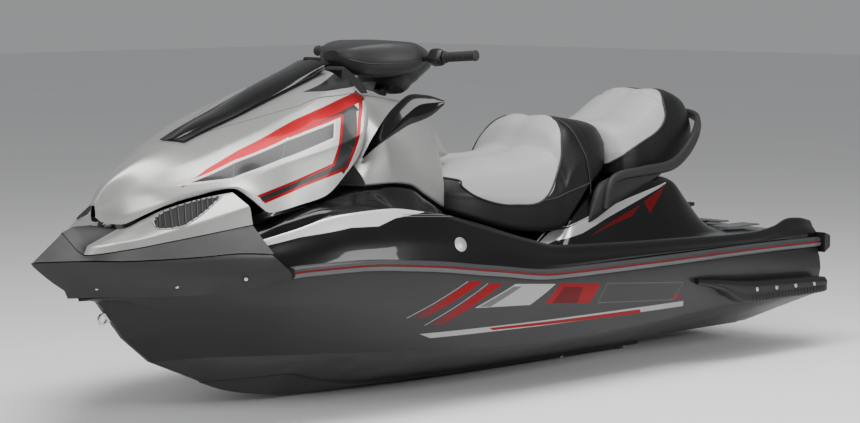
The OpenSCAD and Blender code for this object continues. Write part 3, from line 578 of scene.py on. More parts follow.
PED = [[60, 140, 426], [300, 150, 432], [345, 175, 452], [475, 200, 560],
    [570, 205, 635], [700, 212, 652], [950, 212, 640], [1070, 232, 600],
    [1184, 248, 528], [1255, 252, 446], [1400, 244, 472], [1675, 216, 545],
    [1780, 205, 588], [1825, 235, 608], [1955, 282, 660], [2065, 318, 702],
    [2185, 343, 715], [2335, 358, 712], [2505, 366, 690], [2605, 366, 672],
    [2700, 342, 648], [2770, 303, 620], [2870, 242, 592], [2985, 140, 558]]
TOP = [[60, 100, 428], [300, 100, 434], [345, 120, 456], [475, 150, 570],
    [570, 160, 648], [700, 165, 664], [950, 165, 652], [1070, 180, 612],
    [1184, 200, 540], [1255, 205, 492], [1790, 180, 492], [1880, 200, 600],
    [1955, 215, 640], [2065, 250, 690], [2185, 290, 712], [2335, 310, 708],
    [2505, 318, 686], [2605, 318, 668], [2700, 298, 645], [2770, 266, 616],
    [2870, 200, 590], [2985, 100, 560]]
deck_x = [60, 130, 200, 260, 310, 345, 400, 475, 570, 640, 720, 850, 950,
    1070, 1130, 1184, 1255, 1400, 1540, 1675, 1780, 1830, 1890, 1955, 2020,
    2065, 2120, 2185, 2250, 2335, 2440, 2535, 2610, 2670, 2720, 2770, 2820,
    2870, 2930, 2985]
RAIL = [[62, 523, 389], [130, 530, 391], [600, 570, 400], [1200, 590, 401],
    [1640, 597, 404], [1940, 597, 438], [2250, 587, 478], [2525, 558, 498],
    [2700, 508, 493], [2738, 492, 489]]
rail_x = [62, 130, 300, 500, 700, 950, 1200, 1420, 1640, 1790, 1940, 2100,
    2250, 2390, 2525, 2620, 2700, 2738]
B_LOW = [[0, 3230, 0, 412], [1, 3147, 82, 415], [2, 3085, 155, 417],
    [3, 3030, 222, 420], [4, 2942, 340, 430], [5, 2855, 420, 447],
    [6, 2758, 490, 470]]
B_CREASE = [[0, 3242, 0, 437], [1, 3186, 80, 442], [2, 3100, 172, 445],
    [3, 3032, 256, 447], [4, 2941, 344, 455], [5, 2855, 424, 471],
    [6, 2748, 493, 487]]
B_TIP = [[0, 3368, 0, 531], [1, 3245, 100, 534], [2, 3160, 168, 532],
    [3, 3065, 250, 536], [4, 2975, 318, 542], [5, 2870, 388, 550],
    [6, 2790, 445, 546]]
N_TOP = [[0, 3249, 0, 617], [1, 3228, 90, 554], [2, 3117, 164, 568],
    [3, 3030, 228, 587], [4, 2950, 276, 603], [5, 2860, 320, 620],
    [6, 2785, 352, 633]]
S_RIDGE = [[0, 3205, 0, 632], [1, 3212, 82, 578], [2, 3117, 162, 592],
    [3, 3030, 226, 616], [4, 2945, 272, 641], [5, 2872, 312, 664],
    [6, 2795, 352, 688]]
S_TOP = [[0, 3140, 0, 632], [1, 3070, 56, 619], [2, 3019, 108, 649],
    [3, 2986, 150, 675], [4, 2909, 212, 706], [5, 2857, 248, 720],
    [6, 2808, 284, 730]]
H_EDGE = [[2186, 190, 1024], [2200, 240, 1004], [2235, 300, 950],
    [2295, 344, 875], [2340, 362, 825], [2400, 372, 775], [2510, 382, 705],
    [2610, 382, 686], [2735, 374, 668], [2775, 334, 712], [2805, 290, 742],
    [2909, 217, 718], [2986, 156, 687], [3019, 112, 662], [3067, 60, 633],
    [3116, 24, 642], [3128, 12, 656]]
H_SIDE = [[2186, 180, 1034], [2235, 270, 985], [2315, 346, 888],
    [2450, 352, 850], [2590, 345, 822], [2700, 318, 790], [2765, 296, 762],
    [2805, 285, 751], [2909, 219, 730], [2986, 158, 702], [3019, 114, 682],
    [3067, 62, 660], [3128, 14, 668]]
H_MID = [[2186, 120, 1060], [2300, 190, 1030], [2450, 220, 978],
    [2600, 220, 926], [2700, 205, 888], [2805, 180, 845], [2900, 145, 808],
    [2986, 95, 762], [3060, 48, 720], [3128, 10, 682]]
H_CROWN = [[2186, 60, 1080], [2300, 80, 1046], [2450, 85, 998],
    [2600, 78, 945], [2750, 64, 893], [2806, 58, 872], [2900, 48, 848],
    [2954, 40, 829], [3052, 26, 777], [3096, 16, 743], [3128, 9, 700]]
hatch_x = [2186, 2200, 2235, 2270, 2315, 2360, 2400, 2450, 2510, 2590, 2650,
    2700, 2735, 2755, 2775, 2790, 2805, 2850, 2909, 2954, 2986, 3019, 3045,
    3067, 3096, 3116, 3128]
RIDGE = [[2204, 96, 1120], [2250, 90, 1104], [2430, 80, 1041],
    [2600, 70, 969], [2720, 52, 927], [2812, 24, 885]]
ridge_x = [2204, 2250, 2340, 2430, 2520, 2600, 2660, 2720, 2770, 2812]
C_LOW = [[1655, 90, 772], [1739, 112, 762], [1796, 190, 722],
    [1804, 222, 612], [1825, 236, 618], [1955, 282, 668], [2065, 318, 710],
    [2185, 343, 722], [2300, 352, 722]]
C_MID = [[1655, 98, 780], [1739, 130, 800], [1796, 208, 748],
    [1825, 226, 744], [1955, 262, 790], [2065, 290, 850], [2185, 300, 890],
    [2300, 330, 812]]
C_TOP = [[1655, 80, 788], [1739, 110, 880], [1800, 112, 930],
    [1910, 115, 975], [2060, 125, 992], [2185, 150, 985], [2300, 150, 830]]
console_x = [1655, 1700, 1739, 1770, 1796, 1804, 1825, 1880, 1955, 2065, 2150, 2240,
    2300]
FSEAT = [[885, 150, 735, 60, 858], [937, 190, 712, 90, 868],
    [1000, 220, 690, 105, 876], [1072, 240, 650, 110, 886],
    [1130, 250, 600, 112, 892], [1184, 256, 552, 110, 862],
    [1222, 258, 520, 110, 806], [1260, 260, 500, 120, 779],
    [1330, 256, 500, 140, 764], [1400, 250, 505, 140, 758],
    [1530, 236, 532, 130, 756], [1635, 222, 562, 115, 748],
    [1700, 200, 582, 95, 738], [1760, 160, 605, 70, 714],
    [1788, 110, 640, 45, 690]]
RSEAT = [[330, 90, 790, 30, 868], [360, 130, 750, 60, 915],
    [420, 170, 720, 90, 950], [500, 195, 700, 110, 968],
    [560, 205, 690, 115, 968], [620, 212, 682, 115, 945],
    [690, 216, 675, 120, 900], [760, 216, 672, 130, 868],
    [830, 200, 672, 100, 858], [872, 150, 672, 50, 850]]
GRAB = [[1010, 260, 560], [990, 261, 640], [940, 261, 672], [800, 260, 684],
    [640, 254, 695], [540, 243, 735], [440, 214, 800], [350, 152, 850],
    [310, 76, 868], [303, 0, 872]]

# ---------------------------------------------------------------- curves
def find(T, x):
    i = 0
    while i < len(T) - 2 and x > T[i + 1][0]:
        i += 1
    return i


def rise(T, i, k):
    return (T[i + 1][k] - T[i][k]) / (T[i + 1][0] - T[i][0])


def slope(T, i, k):
    if i <= 0:
        return rise(T, 0, k)
    if i >= len(T) - 1:
        return rise(T, len(T) - 2, k)
    a, b = rise(T, i - 1, k), rise(T, i, k)
    return 0.0 if a * b <= 0 else 2 * a * b / (a + b)


def at(T, x, k):
    """Column k of table T at x, on a smooth line that never overshoots."""
    i = find(T, x)
    h = T[i + 1][0] - T[i][0]
    u = max(0.0, min(1.0, (x - T[i][0]) / h))
    a, b = slope(T, i, k), slope(T, i + 1, k)
    return (T[i][k] * (1 + 2 * u) * (1 - u) ** 2
            + T[i + 1][k] * u * u * (3 - 2 * u)
            + h * (a * u * (1 - u) ** 2 - b * u * u * (1 - u)))


def ln(T, x, dy=0.0, dz=0.0):
    return [x, at(T, x, 1) + dy, at(T, x, 2) + dz]


def mix(a, b, u):
    if isinstance(a, (list, tuple)):
        return [p + (q - p) * u for p, q in zip(a, b)]
    return a + (b - a) * u


def span(a, b, n):
    return [a + (b - a) * i / n for i in range(n + 1)]


def dense(xs, step):
    out = []
    for a, b in zip(xs, xs[1:]):
        n = max(1, int(math.ceil((b - a) / step)))
        out += [a + (b - a) * i / n for i in range(n)]
    return out + [xs[-1]]


def refine(P, sharp, k=4, soft=4.0):
    """More points through P. The corners named in sharp keep straight sides
    and are eased over their own width; the rest is one smooth curve."""
    n = len(P)
    ease = sharp if isinstance(sharp, dict) else {i: soft for i in sharp}
    out, seg = [], []
    for i in range(n - 1):
        b, c = P[i], P[i + 1]
        s0, s1 = (i in ease or i == 0), (i + 1 in ease or i + 1 == n - 1)
        a = [2 * b[j] - c[j] for j in range(3)] if s0 else P[i - 1]
        d = [2 * c[j] - b[j] for j in range(3)] if s1 else P[i + 2]
        L = math.dist(b, c) + 1e-9
        e0 = min(0.3, ease.get(i, 0) / L) if 0 < i else 0.0
        e1 = min(0.3, ease.get(i + 1, 0) / L) if i + 1 < n - 1 else 0.0
        us = []
        if i in ease and 0 < i:
            us.append(e0)
        else:
            us.append(0.0)
        us += [mix(e0, 1 - e1, q / k) for q in range(1, k)]
        if i + 1 in ease and i + 1 < n - 1:
            us.append(1 - e1)
        for u in us:
            q = [0.5 * (2 * b[j] + (c[j] - a[j]) * u
                        + (2 * a[j] - 5 * b[j] + 4 * c[j] - d[j]) * u * u
                        + (3 * b[j] - a[j] - 3 * c[j] + d[j]) * u ** 3)
                 for j in range(3)]
            out.append(q)
            seg.append(i)
        if i + 1 in ease and i + 1 < n - 1:
            # the corner itself, drawn in a little
            e = P[i + 2]
            L2 = math.dist(c, e) + 1e-9
            e2 = min(0.3, ease[i + 1] / L2)
            p0 = mix(c, b, e1)
            p1 = mix(c, e, e2)
            out.append([c[j] * 0.5 + (p0[j] + p1[j]) * 0.25 for j in range(3)])
            seg.append(i)
    out.append(list(P[-1]))
    return out, seg


def both(H):
    return H + [[p[0], -p[1], p[2]] for p in H[-2:0:-1]]


def wrap_rows(seg):
    """Row names round a ring made by both()."""
    return seg + seg[::-1]


class Shape:
    def __init__(self):
        self.v, self.f, self.m = [], [], []

    def skin(self, rings, rows=None, closed=True, caps=True, mirror=False,
             loop=False, zip_end=False):
        for s in ((1, -1) if mirror else (1,)):
            o = len(self.v)
            n = len(rings[0])
            for r in rings:
                self.v += [(p[0], p[1] * s, p[2]) for p in r]
            m = len(rings)
            for i in range(m if loop else m - 1):
                for j in range(n if closed else n - 1):
                    a, b = o + i * n + j, o + i * n + (j + 1) % n
                    c, d = (o + ((i + 1) % m) * n + j,
                            o + ((i + 1) % m) * n + (j + 1) % n)
                    self.f.append((a, b, d, c))
                    self.m.append(rows(i, j) if rows else 0)
            if caps and closed and not loop:
                self.f.append(tuple(o + j for j in range(n)))
                self.m.append(rows(0, 0) if rows else 0)
                e = o + (m - 1) * n
                if zip_end:
                    # a pinched end: strips from side to side
                    for j in range(n // 2):
                        q = [e + j, e + j + 1, e + n - j - 1,
                             e + (n - j) % n]
                        q = [v for k, v in enumerate(q) if v not in q[:k]]
                        self.f.append(tuple(q))
                        self.m.append(0)
                else:
                    self.f.append(tuple(e + j for j in range(n - 1, -1, -1)))
                    self.m.append(rows(m - 2, 0) if rows else 0)
        return self

    def tube(self, P, r, n=12, mat=0, closed=False, mirror=False, flat=1.0):
        rings = []
        m = len(P)
        u = None
        for i in range(m):
            a = Vector(P[(i - 1) % m] if closed else P[max(i - 1, 0)])
            b = Vector(P[(i + 1) % m] if closed else P[min(i + 1, m - 1)])
            t = (b - a).normalized()
            if u is None:
                u = t.orthogonal().normalized()
            u = (u - t * u.dot(t)).normalized()
            w = t.cross(u)
            rr = r[i] if isinstance(r, (list, tuple)) else r
            rings.append([list(Vector(P[i]) + rr * (
                math.cos(k * 2 * math.pi / n) * u
                + math.sin(k * 2 * math.pi / n) * w * flat))
                for k in range(n)])
        return self.skin(rings, rows=lambda i, j: mat, loop=closed,
                         caps=not closed, mirror=mirror)

    def box(self, c, size, turn=None, mat=0, bevel=0.0, mirror=False):
        """Box with eased edges: two rings pulled in at each end."""
        sx, sy, sz = (q / 2 for q in size)
        e = bevel or min(sx, sy, sz) * 0.25
        rings = []
        for z, g in ((-sz, e), (-sz + e, 0), (sz - e, 0), (sz, e)):
            x, y = sx - g, sy - g
            rings.append([[x - e, -y, z], [x, -y + e, z], [x, y - e, z],
                          [x - e, y, z], [-x + e, y, z], [-x, y - e, z],
                          [-x, -y + e, z], [-x + e, -y, z]])
        R = turn.to_3x3() if turn is not None else Matrix.Identity(3)
        rings = [[list(R @ Vector(p) + Vector(c)) for p in r] for r in rings]
        return self.skin(rings, rows=lambda i, j: mat, mirror=mirror)

    def disc(self, c, axis, r, h, mat=0, n=28, e=None, mirror=False):
        """Short round boss along axis, with an eased top edge."""
        w = Vector(axis).normalized()
        u = w.orthogonal().normalized()
        v = w.cross(u)
        e = min(h, r) * 0.3 if e is None else e
        rings = []
        for d, q in ((0, r), (h - e, r), (h - e * 0.3, r - e * 0.3),
                     (h, r - e)):
            rings.append([list(Vector(c) + w * d + q * (
                math.cos(k * 2 * math.pi / n) * u
                + math.sin(k * 2 * math.pi / n) * v)) for k in range(n)])
        return self.skin(rings, rows=lambda i, j: mat, mirror=mirror)

    def build(self, name, mats, body="craft", hide=(), angle=32, slot=None,
              cut=None):
        me = bpy.data.meshes.new(name)
        me.from_pydata([((x - 1685) / 1000, y / 1000, (z - 250) / 1000)
                        for x, y, z in self.v], [], self.f)
        me.polygons.foreach_set("material_index", self.m)
        bm = bmesh.new()
        bm.from_mesh(me)
        bmesh.ops.remove_doubles(bm, verts=bm.verts, dist=0.00002)
        bmesh.ops.dissolve_degenerate(bm, edges=bm.edges, dist=0.00001)
        bmesh.ops.recalc_face_normals(bm, faces=bm.faces)
        bm.to_mesh(me)
        bm.free()
        o = bpy.data.objects.new(name, me)
        bpy.context.scene.collection.objects.link(o)
        for m in mats:
            me.materials.append(MATS[m] if isinstance(m, str) else m)
        if cut is not None:
            c = cut.build(name + "_cutter", [mats[-1]], body=None)
            md = o.modifiers.new("cut", "BOOLEAN")
            md.operation = "DIFFERENCE"
            md.solver = "MANIFOLD"
            md.object = c
            dg = bpy.context.evaluated_depsgraph_get()
            new = bpy.data.meshes.new_from_object(o.evaluated_get(dg))
            o.modifiers.clear()
            o.data = new
            bpy.data.objects.remove(c)
            me = new
        me.polygons.foreach_set("use_smooth", [True] * len(me.polygons))
        me.set_sharp_from_angle(angle=math.radians(angle))
        if body is None:
            return o
        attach(o, body)
        if hide:
            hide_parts(*hide)
        return o

# ---------------------------------------------------------------- hull
flat_to, tunnel_x, roof_z, shaft_z, strake = 2000, 640, 318, 165, 14


def on_line(T, s):
    x = s if s <= flat_to else mix(flat_to, T[-1][0], s - flat_to)
    return [x, at(T, x, 1), at(T, x, 2)]


def up(p, dz, dy=0.0):
    return [p[0], p[1] + dy, p[2] + dz]


def hull_half(s):
    b, e = on_line(BOND, s), on_line(STRAKE, s)
    f = max(0, s - flat_to)
    g = strake * (1 - f)
    e2 = [e[0], e[1] + mix(7, 1, f), e[2] + max(g, 3)]
    m = on_line(MID, s)
    w = mix(e2, m, 0.225)
    t = at(TUB, b[0], 2)
    if s <= tunnel_x:
        low = [[s, 0, roof_z], [s, 60, roof_z - 0.5], [s, 120, roof_z - 2],
               [s, w[1], roof_z - 4], w]
    else:
        low = [on_line(KEEL, s), e, e2, mix(w, m, 0.01), mix(w, m, 0.5)]
    k = on_line(KNUCKLE, s)
    lip = up(b, -13)
    belly = mix(k, lip, 0.5)
    belly = [belly[0], belly[1] + min(5, b[1] * 0.02), belly[2]]
    return low + [m, on_line(CHINE, s), on_line(CHINE2, s), k, belly, lip,
                  up(b, -14, -min(26, b[1] * 0.3)),
                  [b[0], b[1] - min(at(INSET, b[0], 1) + 1, b[1] * 0.5),
                   min(t, b[2] - 18)],
                  [b[0], 0, min(t, b[2] - 18) - 1]]


def hull_rings():
    ss = [60, 200, 420, 640, 641] + span(641, 2000, 22)[1:] \
        + [2000 + i / 44 for i in range(1, 45)]
    rings, seg = [], None
    for s in ss:
        r, seg = refine(hull_half(s), {1: 2, 2: 2, 3: 2, 4: 2, 5: 3, 6: 4,
                                       7: 4, 8: 6, 10: 2, 11: 2, 12: 2}, 2)
        rings.append(both(r))
    return rings, wrap_rows(seg)


hull = Shape()
rings, rows = hull_rings()
hull.skin(rings, zip_end=True)
cut = Shape()
duct = [[630, 250], [630, 90], [690, -20], [1070, -20], [1075, 20],
        [960, 70], [800, 210], [700, 250]]
cut.skin([[[x, y, z] for x, z in duct] for y in (-95, 95)])
cut.skin([[[x, -200, 108], [x, 200, 108], [x, 200, 276], [x, -200, 276]]
          for x in (1045, 1860)])
hull.build("hull_shell", ["hull_gelcoat"], hide=["hull"], angle=26,
           slot="hull_gelcoat", cut=cut)

# ---------------------------------------------------------------- deck
def deck_half(x):
    b, t = ln(BOND, x), at(TUB, x, 2)
    return [[x, 0, min(t, b[2] - 14) + 9],
            [x, b[1] - at(INSET, x, 1) - 9, min(t, b[2] - 14) + 8],
            [x, b[1] - 25, b[2]], [x, b[1] - 1, b[2]],
            [x, b[1], b[2] + 15],
            ln(CREST, x, 14, -22), ln(CREST, x), ln(CREST, x, -22, -10),
            ln(WELL_OUT, x), ln(WELL_IN, x), ln(PED, x), ln(TOP, x),
            [x, 0, at(TOP, x, 2) + 1]]


deck = Shape()
rings = []
for x in dense(deck_x, 22):
    h = deck_half(x)
    # the outer side swells a little between the joint and the crest
    h.insert(5, [x, mix(h[4][1], h[5][1], 0.5) + 7,
                 mix(h[4][2], h[5][2], 0.5)])
    r, seg = refine(h, {1: 2, 2: 2, 3: 1, 4: 2, 9: 16, 10: 12, 11: 16,
                        12: 18}, 4)
    rings.append(both(r))
rows = wrap_rows(seg)
deck.skin(rings, rows=lambda i, j: 1 if 4 <= rows[j] <= 7
          else 2 if 9 <= rows[j] <= 11 else 0)
bay = Shape()
bay.skin([[[x, -200, 250], [x, 200, 250], [x, 200, 476], [x, -200, 476]]
          for x in (1045, 1860)])
bay.skin([[[x, -255, 445], [x, 255, 445], [x, 255, 845], [x, -255, 845]]
          for x in (2355, 2800)])
deck.build("deck_shell", ["deck_gloss", "deck_side", "rear_panel"],
           hide=["deck"], angle=34, slot="deck_gloss", cut=bay)

# ---------------------------------------------------------------- rub rails
rail = Shape()
rings = []
for x in dense(rail_x, 16):
    y, z, b = at(RAIL, x, 1), at(RAIL, x, 2), at(BOND, x, 1)
    rings.append([[x, b + 2, z - 17], [x, y - 7, z - 17], [x, y - 3, z - 14],
                  [x, y, z - 9], [x, y + 0.5, z - 3], [x, y - 2.5, z - 2],
                  [x, y - 2.5, z + 3.5], [x, y + 0.5, z + 4.5],
                  [x, y - 0.5, z + 9], [x, y - 4, z + 13.5],
                  [x, y - 9, z + 16.5], [x, b + 2, z + 18]])
rail.skin(rings, rows=lambda i, j: 1 if j == 5 else 2 if j in (1, 2, 3)
          else 0, mirror=True)
rail.build("rub_rail_strips", ["rail_vinyl", "red_stripe", "rail_lip"],
           hide=["rub_rails"], angle=40, slot="rail_vinyl")

# ---------------------------------------------------------------- bow
def b_at(T, s):
    return [at(T, s, 1), at(T, s, 2), at(T, s, 3)]


def inner(p, d, lift=0.0):
    v = Vector((2700 - p[0], -p[1] * 1.2, 0)).normalized()
    return [p[0] + v.x * d, p[1] + v.y * d, p[2] + lift]


def band(lines, t, ease, lift=-8, n=84, k=5, bulge=None, rows=None,
         s0=0.0, s1=6.0):
    out = []
    seg = None
    for i in range(n + 1):
        s = s0 + (s1 - s0) * i / n
        P = [b_at(T, s) for T in lines]
        if bulge:
            P = bulge(P, s)
        q, seg = refine(P, ease, k)
        back_side = [inner(p, t, lift if j == len(q) - 1 else 0)
                     for j, p in enumerate(q)][::-1]
        out.append(q + back_side)
    full = [[[p[0], -p[1], p[2]] for p in r] for r in out[:0:-1]] + out
    m = len(out) - 1
    return full, seg, m


def bumper_bulge(P, s):
    low, crease, tip = P
    v = Vector((crease[0] - 2600, crease[1], 0)).normalized()
    a = mix(crease, tip, 0.35)
    b = mix(crease, tip, 0.8)
    return [low, mix(low, crease, 0.5), crease,
            [a[0] + v.x * 7, a[1] + v.y * 7, a[2]],
            [b[0] + v.x * 6, b[1] + v.y * 6, b[2]], tip]


SKIN = 16
bump = Shape()
rings, seg, m = band([B_LOW, B_CREASE, B_TIP], SKIN, {2: 4}, -2,
                     bulge=bumper_bulge)
bump.skin(rings)
bump.build("bow_bumper_moulding", ["matte_moulding"], hide=["bow_bumper"],
           angle=30, slot="matte_moulding")
trim = Shape()
for px, py, pz, nx, ny in ((3180, 81, 439, .72, .69),
                           (3017, 266, 446, .80, .60),
                           (2868, 412, 468, .62, .78)):
    trim.disc((px - nx * 9, py - ny * 9, pz + 10), (nx, ny, -0.1), 11, 13,
              e=3, mirror=True)
    trim.disc((px + nx * 3, py + ny * 3, pz + 9), (nx, ny, -0.1), 6, 4,
              mat=1, e=1, mirror=True)
trim.build("bumper_screws", ["black_plastic", "stainless"],
           slot="black_plastic")

nose = Shape()
N_LOW = [[p[0], p[1] - 8, p[2], p[3] + 3] for p in B_TIP]
N_HIGH = [[p[0], p[1], p[2], p[3] - 3] for p in N_TOP]
rings, seg, m = band([N_LOW, N_HIGH], SKIN, {}, -8, k=3)
nose.skin(rings)
nose.build("nose_moulding", ["matte_moulding"], hide=["nose_cover"],
           angle=30, slot="matte_moulding")

garn = Shape()
rings, seg, m = band([N_TOP, S_RIDGE, S_TOP], SKIN, {1: 7}, -6, n=110)
nn = len(rings) // 2
garn.skin(rings, rows=lambda i, j: 1 if abs(
    (i + 0.5 - nn) * 6.0 / nn) < 0.95 else 0)
garn.build("intake_surround_moulding", ["silver_paint", "matte_moulding"],
           hide=["intake_surround"], angle=30, slot="silver_paint")


def garn_at(s, v, off=0.0):
    a, b = Vector(b_at(S_RIDGE, s)), Vector(b_at(S_TOP, s))
    a2 = Vector(b_at(S_RIDGE, s + 0.05))
    n = (b - a).cross(a2 - a).normalized()
    if n.z < 0:
        n = -n
    return list(a.lerp(b, v) + n * off)


def edge_at(E, u):
    n = len(E) - 1
    i = min(int(u * n), n - 1)
    return mix(E[i], E[i + 1], u * n - i)


LOW_E = [(2.72, 0.42), (2.85, 0.22), (3.2, 0.10), (3.6, 0.04), (4.0, 0.2),
         (4.4, 0.37), (4.9, 0.63), (5.35, 0.86)]
TOP_E = [(2.62, 0.64), (2.85, 0.80), (3.2, 0.90), (3.6, 0.935), (4.0, 0.94),
         (4.4, 0.935), (4.9, 0.92), (5.4, 0.88)]
grille = Shape()
N = 44
floor_r, rim = [], []
for i in range(N + 1):
    u = i / N
    lo, hi = edge_at(LOW_E, u), edge_at(TOP_E, u)
    floor_r.append([garn_at(lo[0], lo[1], 1.0), garn_at(hi[0], hi[1], 1.0),
                    garn_at(hi[0], hi[1], -3), garn_at(lo[0], lo[1], -3)])
grille.skin(floor_r, mirror=True)
loop = [garn_at(*edge_at(LOW_E, i / N), 1.0) for i in range(N + 1)] \
    + [garn_at(*edge_at(TOP_E, 1 - i / N), 1.0) for i in range(N + 1)]
grille.tube(loop, 2.6, 8, mat=1, closed=True, mirror=True)
for i in range(1, 13):
    u0, u1 = i / 13.2, min(1.0, i / 13.2 + 0.03)
    lo, hi = edge_at(LOW_E, u0), edge_at(TOP_E, u1)
    P = [garn_at(*mix(lo, hi, q / 6), 2.6) for q in range(7)]
    grille.tube(P, 3.4, 8, mat=2, mirror=True)
grille.build("intake_grille_ribs", ["grille_dark", "silver_paint",
                                    "matte_moulding"],
             hide=["intake_grilles"], angle=50, slot="black_plastic")

# ---------------------------------------------------------------- hatch
HT = 12
hatch = Shape()
rings = []
for x in dense(hatch_x, 14):
    e, s_, m_, c_ = (ln(T, x) for T in (H_EDGE, H_SIDE, H_MID, H_CROWN))
    s_ = up(s_, 2)
    top = [x, 0, at(H_CROWN, x, 2) + 4]
    low = mix(e, s_, 0.5)
    low = [low[0], low[1] + 4 * min(1, e[1] / 300), low[2]]
    sh = mix(s_, m_, 0.5)
    bul = 10 * min(1, m_[1] / 200)
    sh = [sh[0], sh[1] + bul * 0.5, sh[2] + bul * 0.8]
    P, seg = refine([e, low, s_, sh, m_, c_, top], {2: 5, 4: 10}, 4)
    n = len(P)
    k = 0.25 if x > 3060 else 0.8
    inn = []
    for j, p in enumerate(P):
        f = 1 - j / (n - 1)
        inn.append([x, max(0.0, p[1] - HT * k * f ** 0.7),
                    p[2] - HT * (1 - f ** 3) + (1 if j == 0 else 0)])
    rings.append(P + [[q[0], -q[1], q[2]] for q in P[-2::-1]]
                 + [[q[0], -q[1], q[2]] for q in inn]
                 + inn[-2::-1])
hatch.skin(rings)
hatch.build("front_hatch_shell", ["hatch_silver"], body="hatch",
            hide=["front_hatch"], angle=28, slot="silver_paint")

ridge = Shape()
rings = []
for x in dense(ridge_x, 16):
    w, z = at(RIDGE, x, 1), at(RIDGE, x, 2)
    c = at(H_CROWN, x, 2) + 6
    cy = at(H_CROWN, x, 1)
    P, seg = refine([[x, 0, c + 2], [x, cy * 0.9, c],
                     [x, cy + 4, mix(c, z, 0.3)],
                     [x, w * 0.85, max(z - 12, c + 3)],
                     [x, w * 0.45, max(z - 3, c + 5)],
                     [x, 0, max(z, c + 6)]], {1: 2, 2: 4}, 4)
    rings.append(both(P))
rows = wrap_rows(seg)
ridge.skin(rings)
ridge.disc((2194, -45, 1118), (0, 1, 0), 7, 90, mat=1, e=1)
ridge.box((2201, 0, 1116), (14, 80, 9), mat=1)
ridge.build("hatch_ridge_band", ["deck_gloss", "black_plastic"],
            body="hatch", hide=["hatch_ridge"], angle=32, slot="deck_gloss")

# ---------------------------------------------------------------- console
con = Shape()
rings = []
for x in dense(console_x, 12):
    k = max(0, x - 2170)
    lo, mid, tp = ln(C_LOW, x), ln(C_MID, x), ln(C_TOP, x)
    mid = [x, mid[1] - k * 0.25, mid[2] - k * 0.2]
    a = mix([x, lo[1], lo[2] + 8], mid, 0.5)
    b = mix(mid, tp, 0.55)
    sw = 10 if x > 1805 else 2
    P, seg = refine([[x, 0, lo[2] + 5], [x, lo[1] - 4, lo[2] + 2],
                     [x, lo[1], lo[2] + 8], [x, a[1] + sw * 0.6, a[2]], mid,
                     [x, b[1] + sw, b[2] + sw * 0.4], tp,
                     [x, tp[1] * 0.5, tp[2] + 5], [x, 0, tp[2] + 6]],
                    {1: 1, 2: 2, 4: 8, 6: 10}, 4)
    rings.append(both(P))
con.skin(rings)
con.build("console_shell", ["silver_paint"], hide=["console"], angle=30,
          slot="silver_paint")

# ---------------------------------------------------------------- mirrors
MIR = [[2272, 318, 815, 6, 8], [2225, 338, 868, 20, 34],
       [2160, 366, 930, 30, 66], [2110, 390, 965, 30, 76],
       [2070, 425, 975, 22, 56], [2044, 455, 985, 6, 14]]
mir = Shape()
rings = []
for i in range(41):
    u = i / 40 * 5
    a = int(min(u, 4.999))
    T = [[k] + q for k, q in enumerate(MIR)]
    q = [at(T, u, c) for c in range(1, 6)]
    R0 = [[q[0] + q[3], q[1] - q[3], q[2] - q[4] * 0.4],
          [q[0] + q[3] * 0.1, q[1] - q[3] * 1.25, q[2] - q[4] * 0.2],
          [q[0] - q[3], q[1] - q[3] * 1.2, q[2] + q[4] * 0.1],
          [q[0] - q[3] * 0.6, q[1] - q[3] * 1.15, q[2] + q[4] * 0.42],
          [q[0], q[1] - q[3], q[2] + q[4] * 0.6],
          [q[0] + q[3] * 0.1, q[1], q[2] + q[4] * 0.48],
          [q[0] + q[3] * 0.2, q[1] + q[3], q[2] + q[4] * 0.2],
          [q[0] + q[3] * 0.7, q[1] + q[3] * 0.9, q[2] - q[4] * 0.2],
          [q[0] + q[3], q[1] + q[3] * 0.6, q[2] - q[4] * 0.6],
          [q[0] + q[3] * 1.02, q[1] - q[3] * 0.2, q[2] - q[4] * 0.56],
          [q[0] + q[3], q[1] - q[3], q[2] - q[4] * 0.4]]
    P, seg = refine(R0, {2: 2, 4: 2, 6: 1.5, 8: 2}, 3)
    rings.append(P[:-1])
mseg = seg
mir.skin(rings, rows=lambda i, j: 1 if mseg[j] in (2, 3) and 9 < i < 34
         else 0, mirror=True)
mir.build("mirror_shells", ["deck_gloss", "mirror_face"],
          hide=["mirror_housings", "mirror_glass"], angle=30,
          slot="deck_gloss")

# ---------------------------------------------------------------- handle pad
PADT = [[1694, 52, 1088, 1104], [1730, 98, 1078, 1128],
        [1800, 142, 1072, 1160], [1880, 172, 1062, 1176],
        [1960, 160, 1056, 1179], [2040, 126, 1062, 1172],
        [2090, 82, 1086, 1160], [2112, 40, 1112, 1146]]
pad = Shape()
rings = []
for x in span(1694, 2112, 44):
    w, lo, hi = (at(PADT, x, k) for k in (1, 2, 3))
    P, seg = refine([[x, 0, lo + 1], [x, w * 0.7, lo],
                     [x, w * 0.96, mix(lo, hi, 0.25)],
                     [x, w, mix(lo, hi, 0.5)], [x, w * 0.86, hi - 10],
                     [x, w * 0.5, hi - 2.5], [x, 0, hi]], {2: 5}, 4)
    rings.append(both(P))
pad.skin(rings)
# boot round the column, and its folds
foot = Vector((1880, 0, 1015))
lean = Matrix.Rotation(math.radians(-30), 4, "Y")


def leaned(p):
    return list(lean.to_3x3() @ Vector(p) + foot)


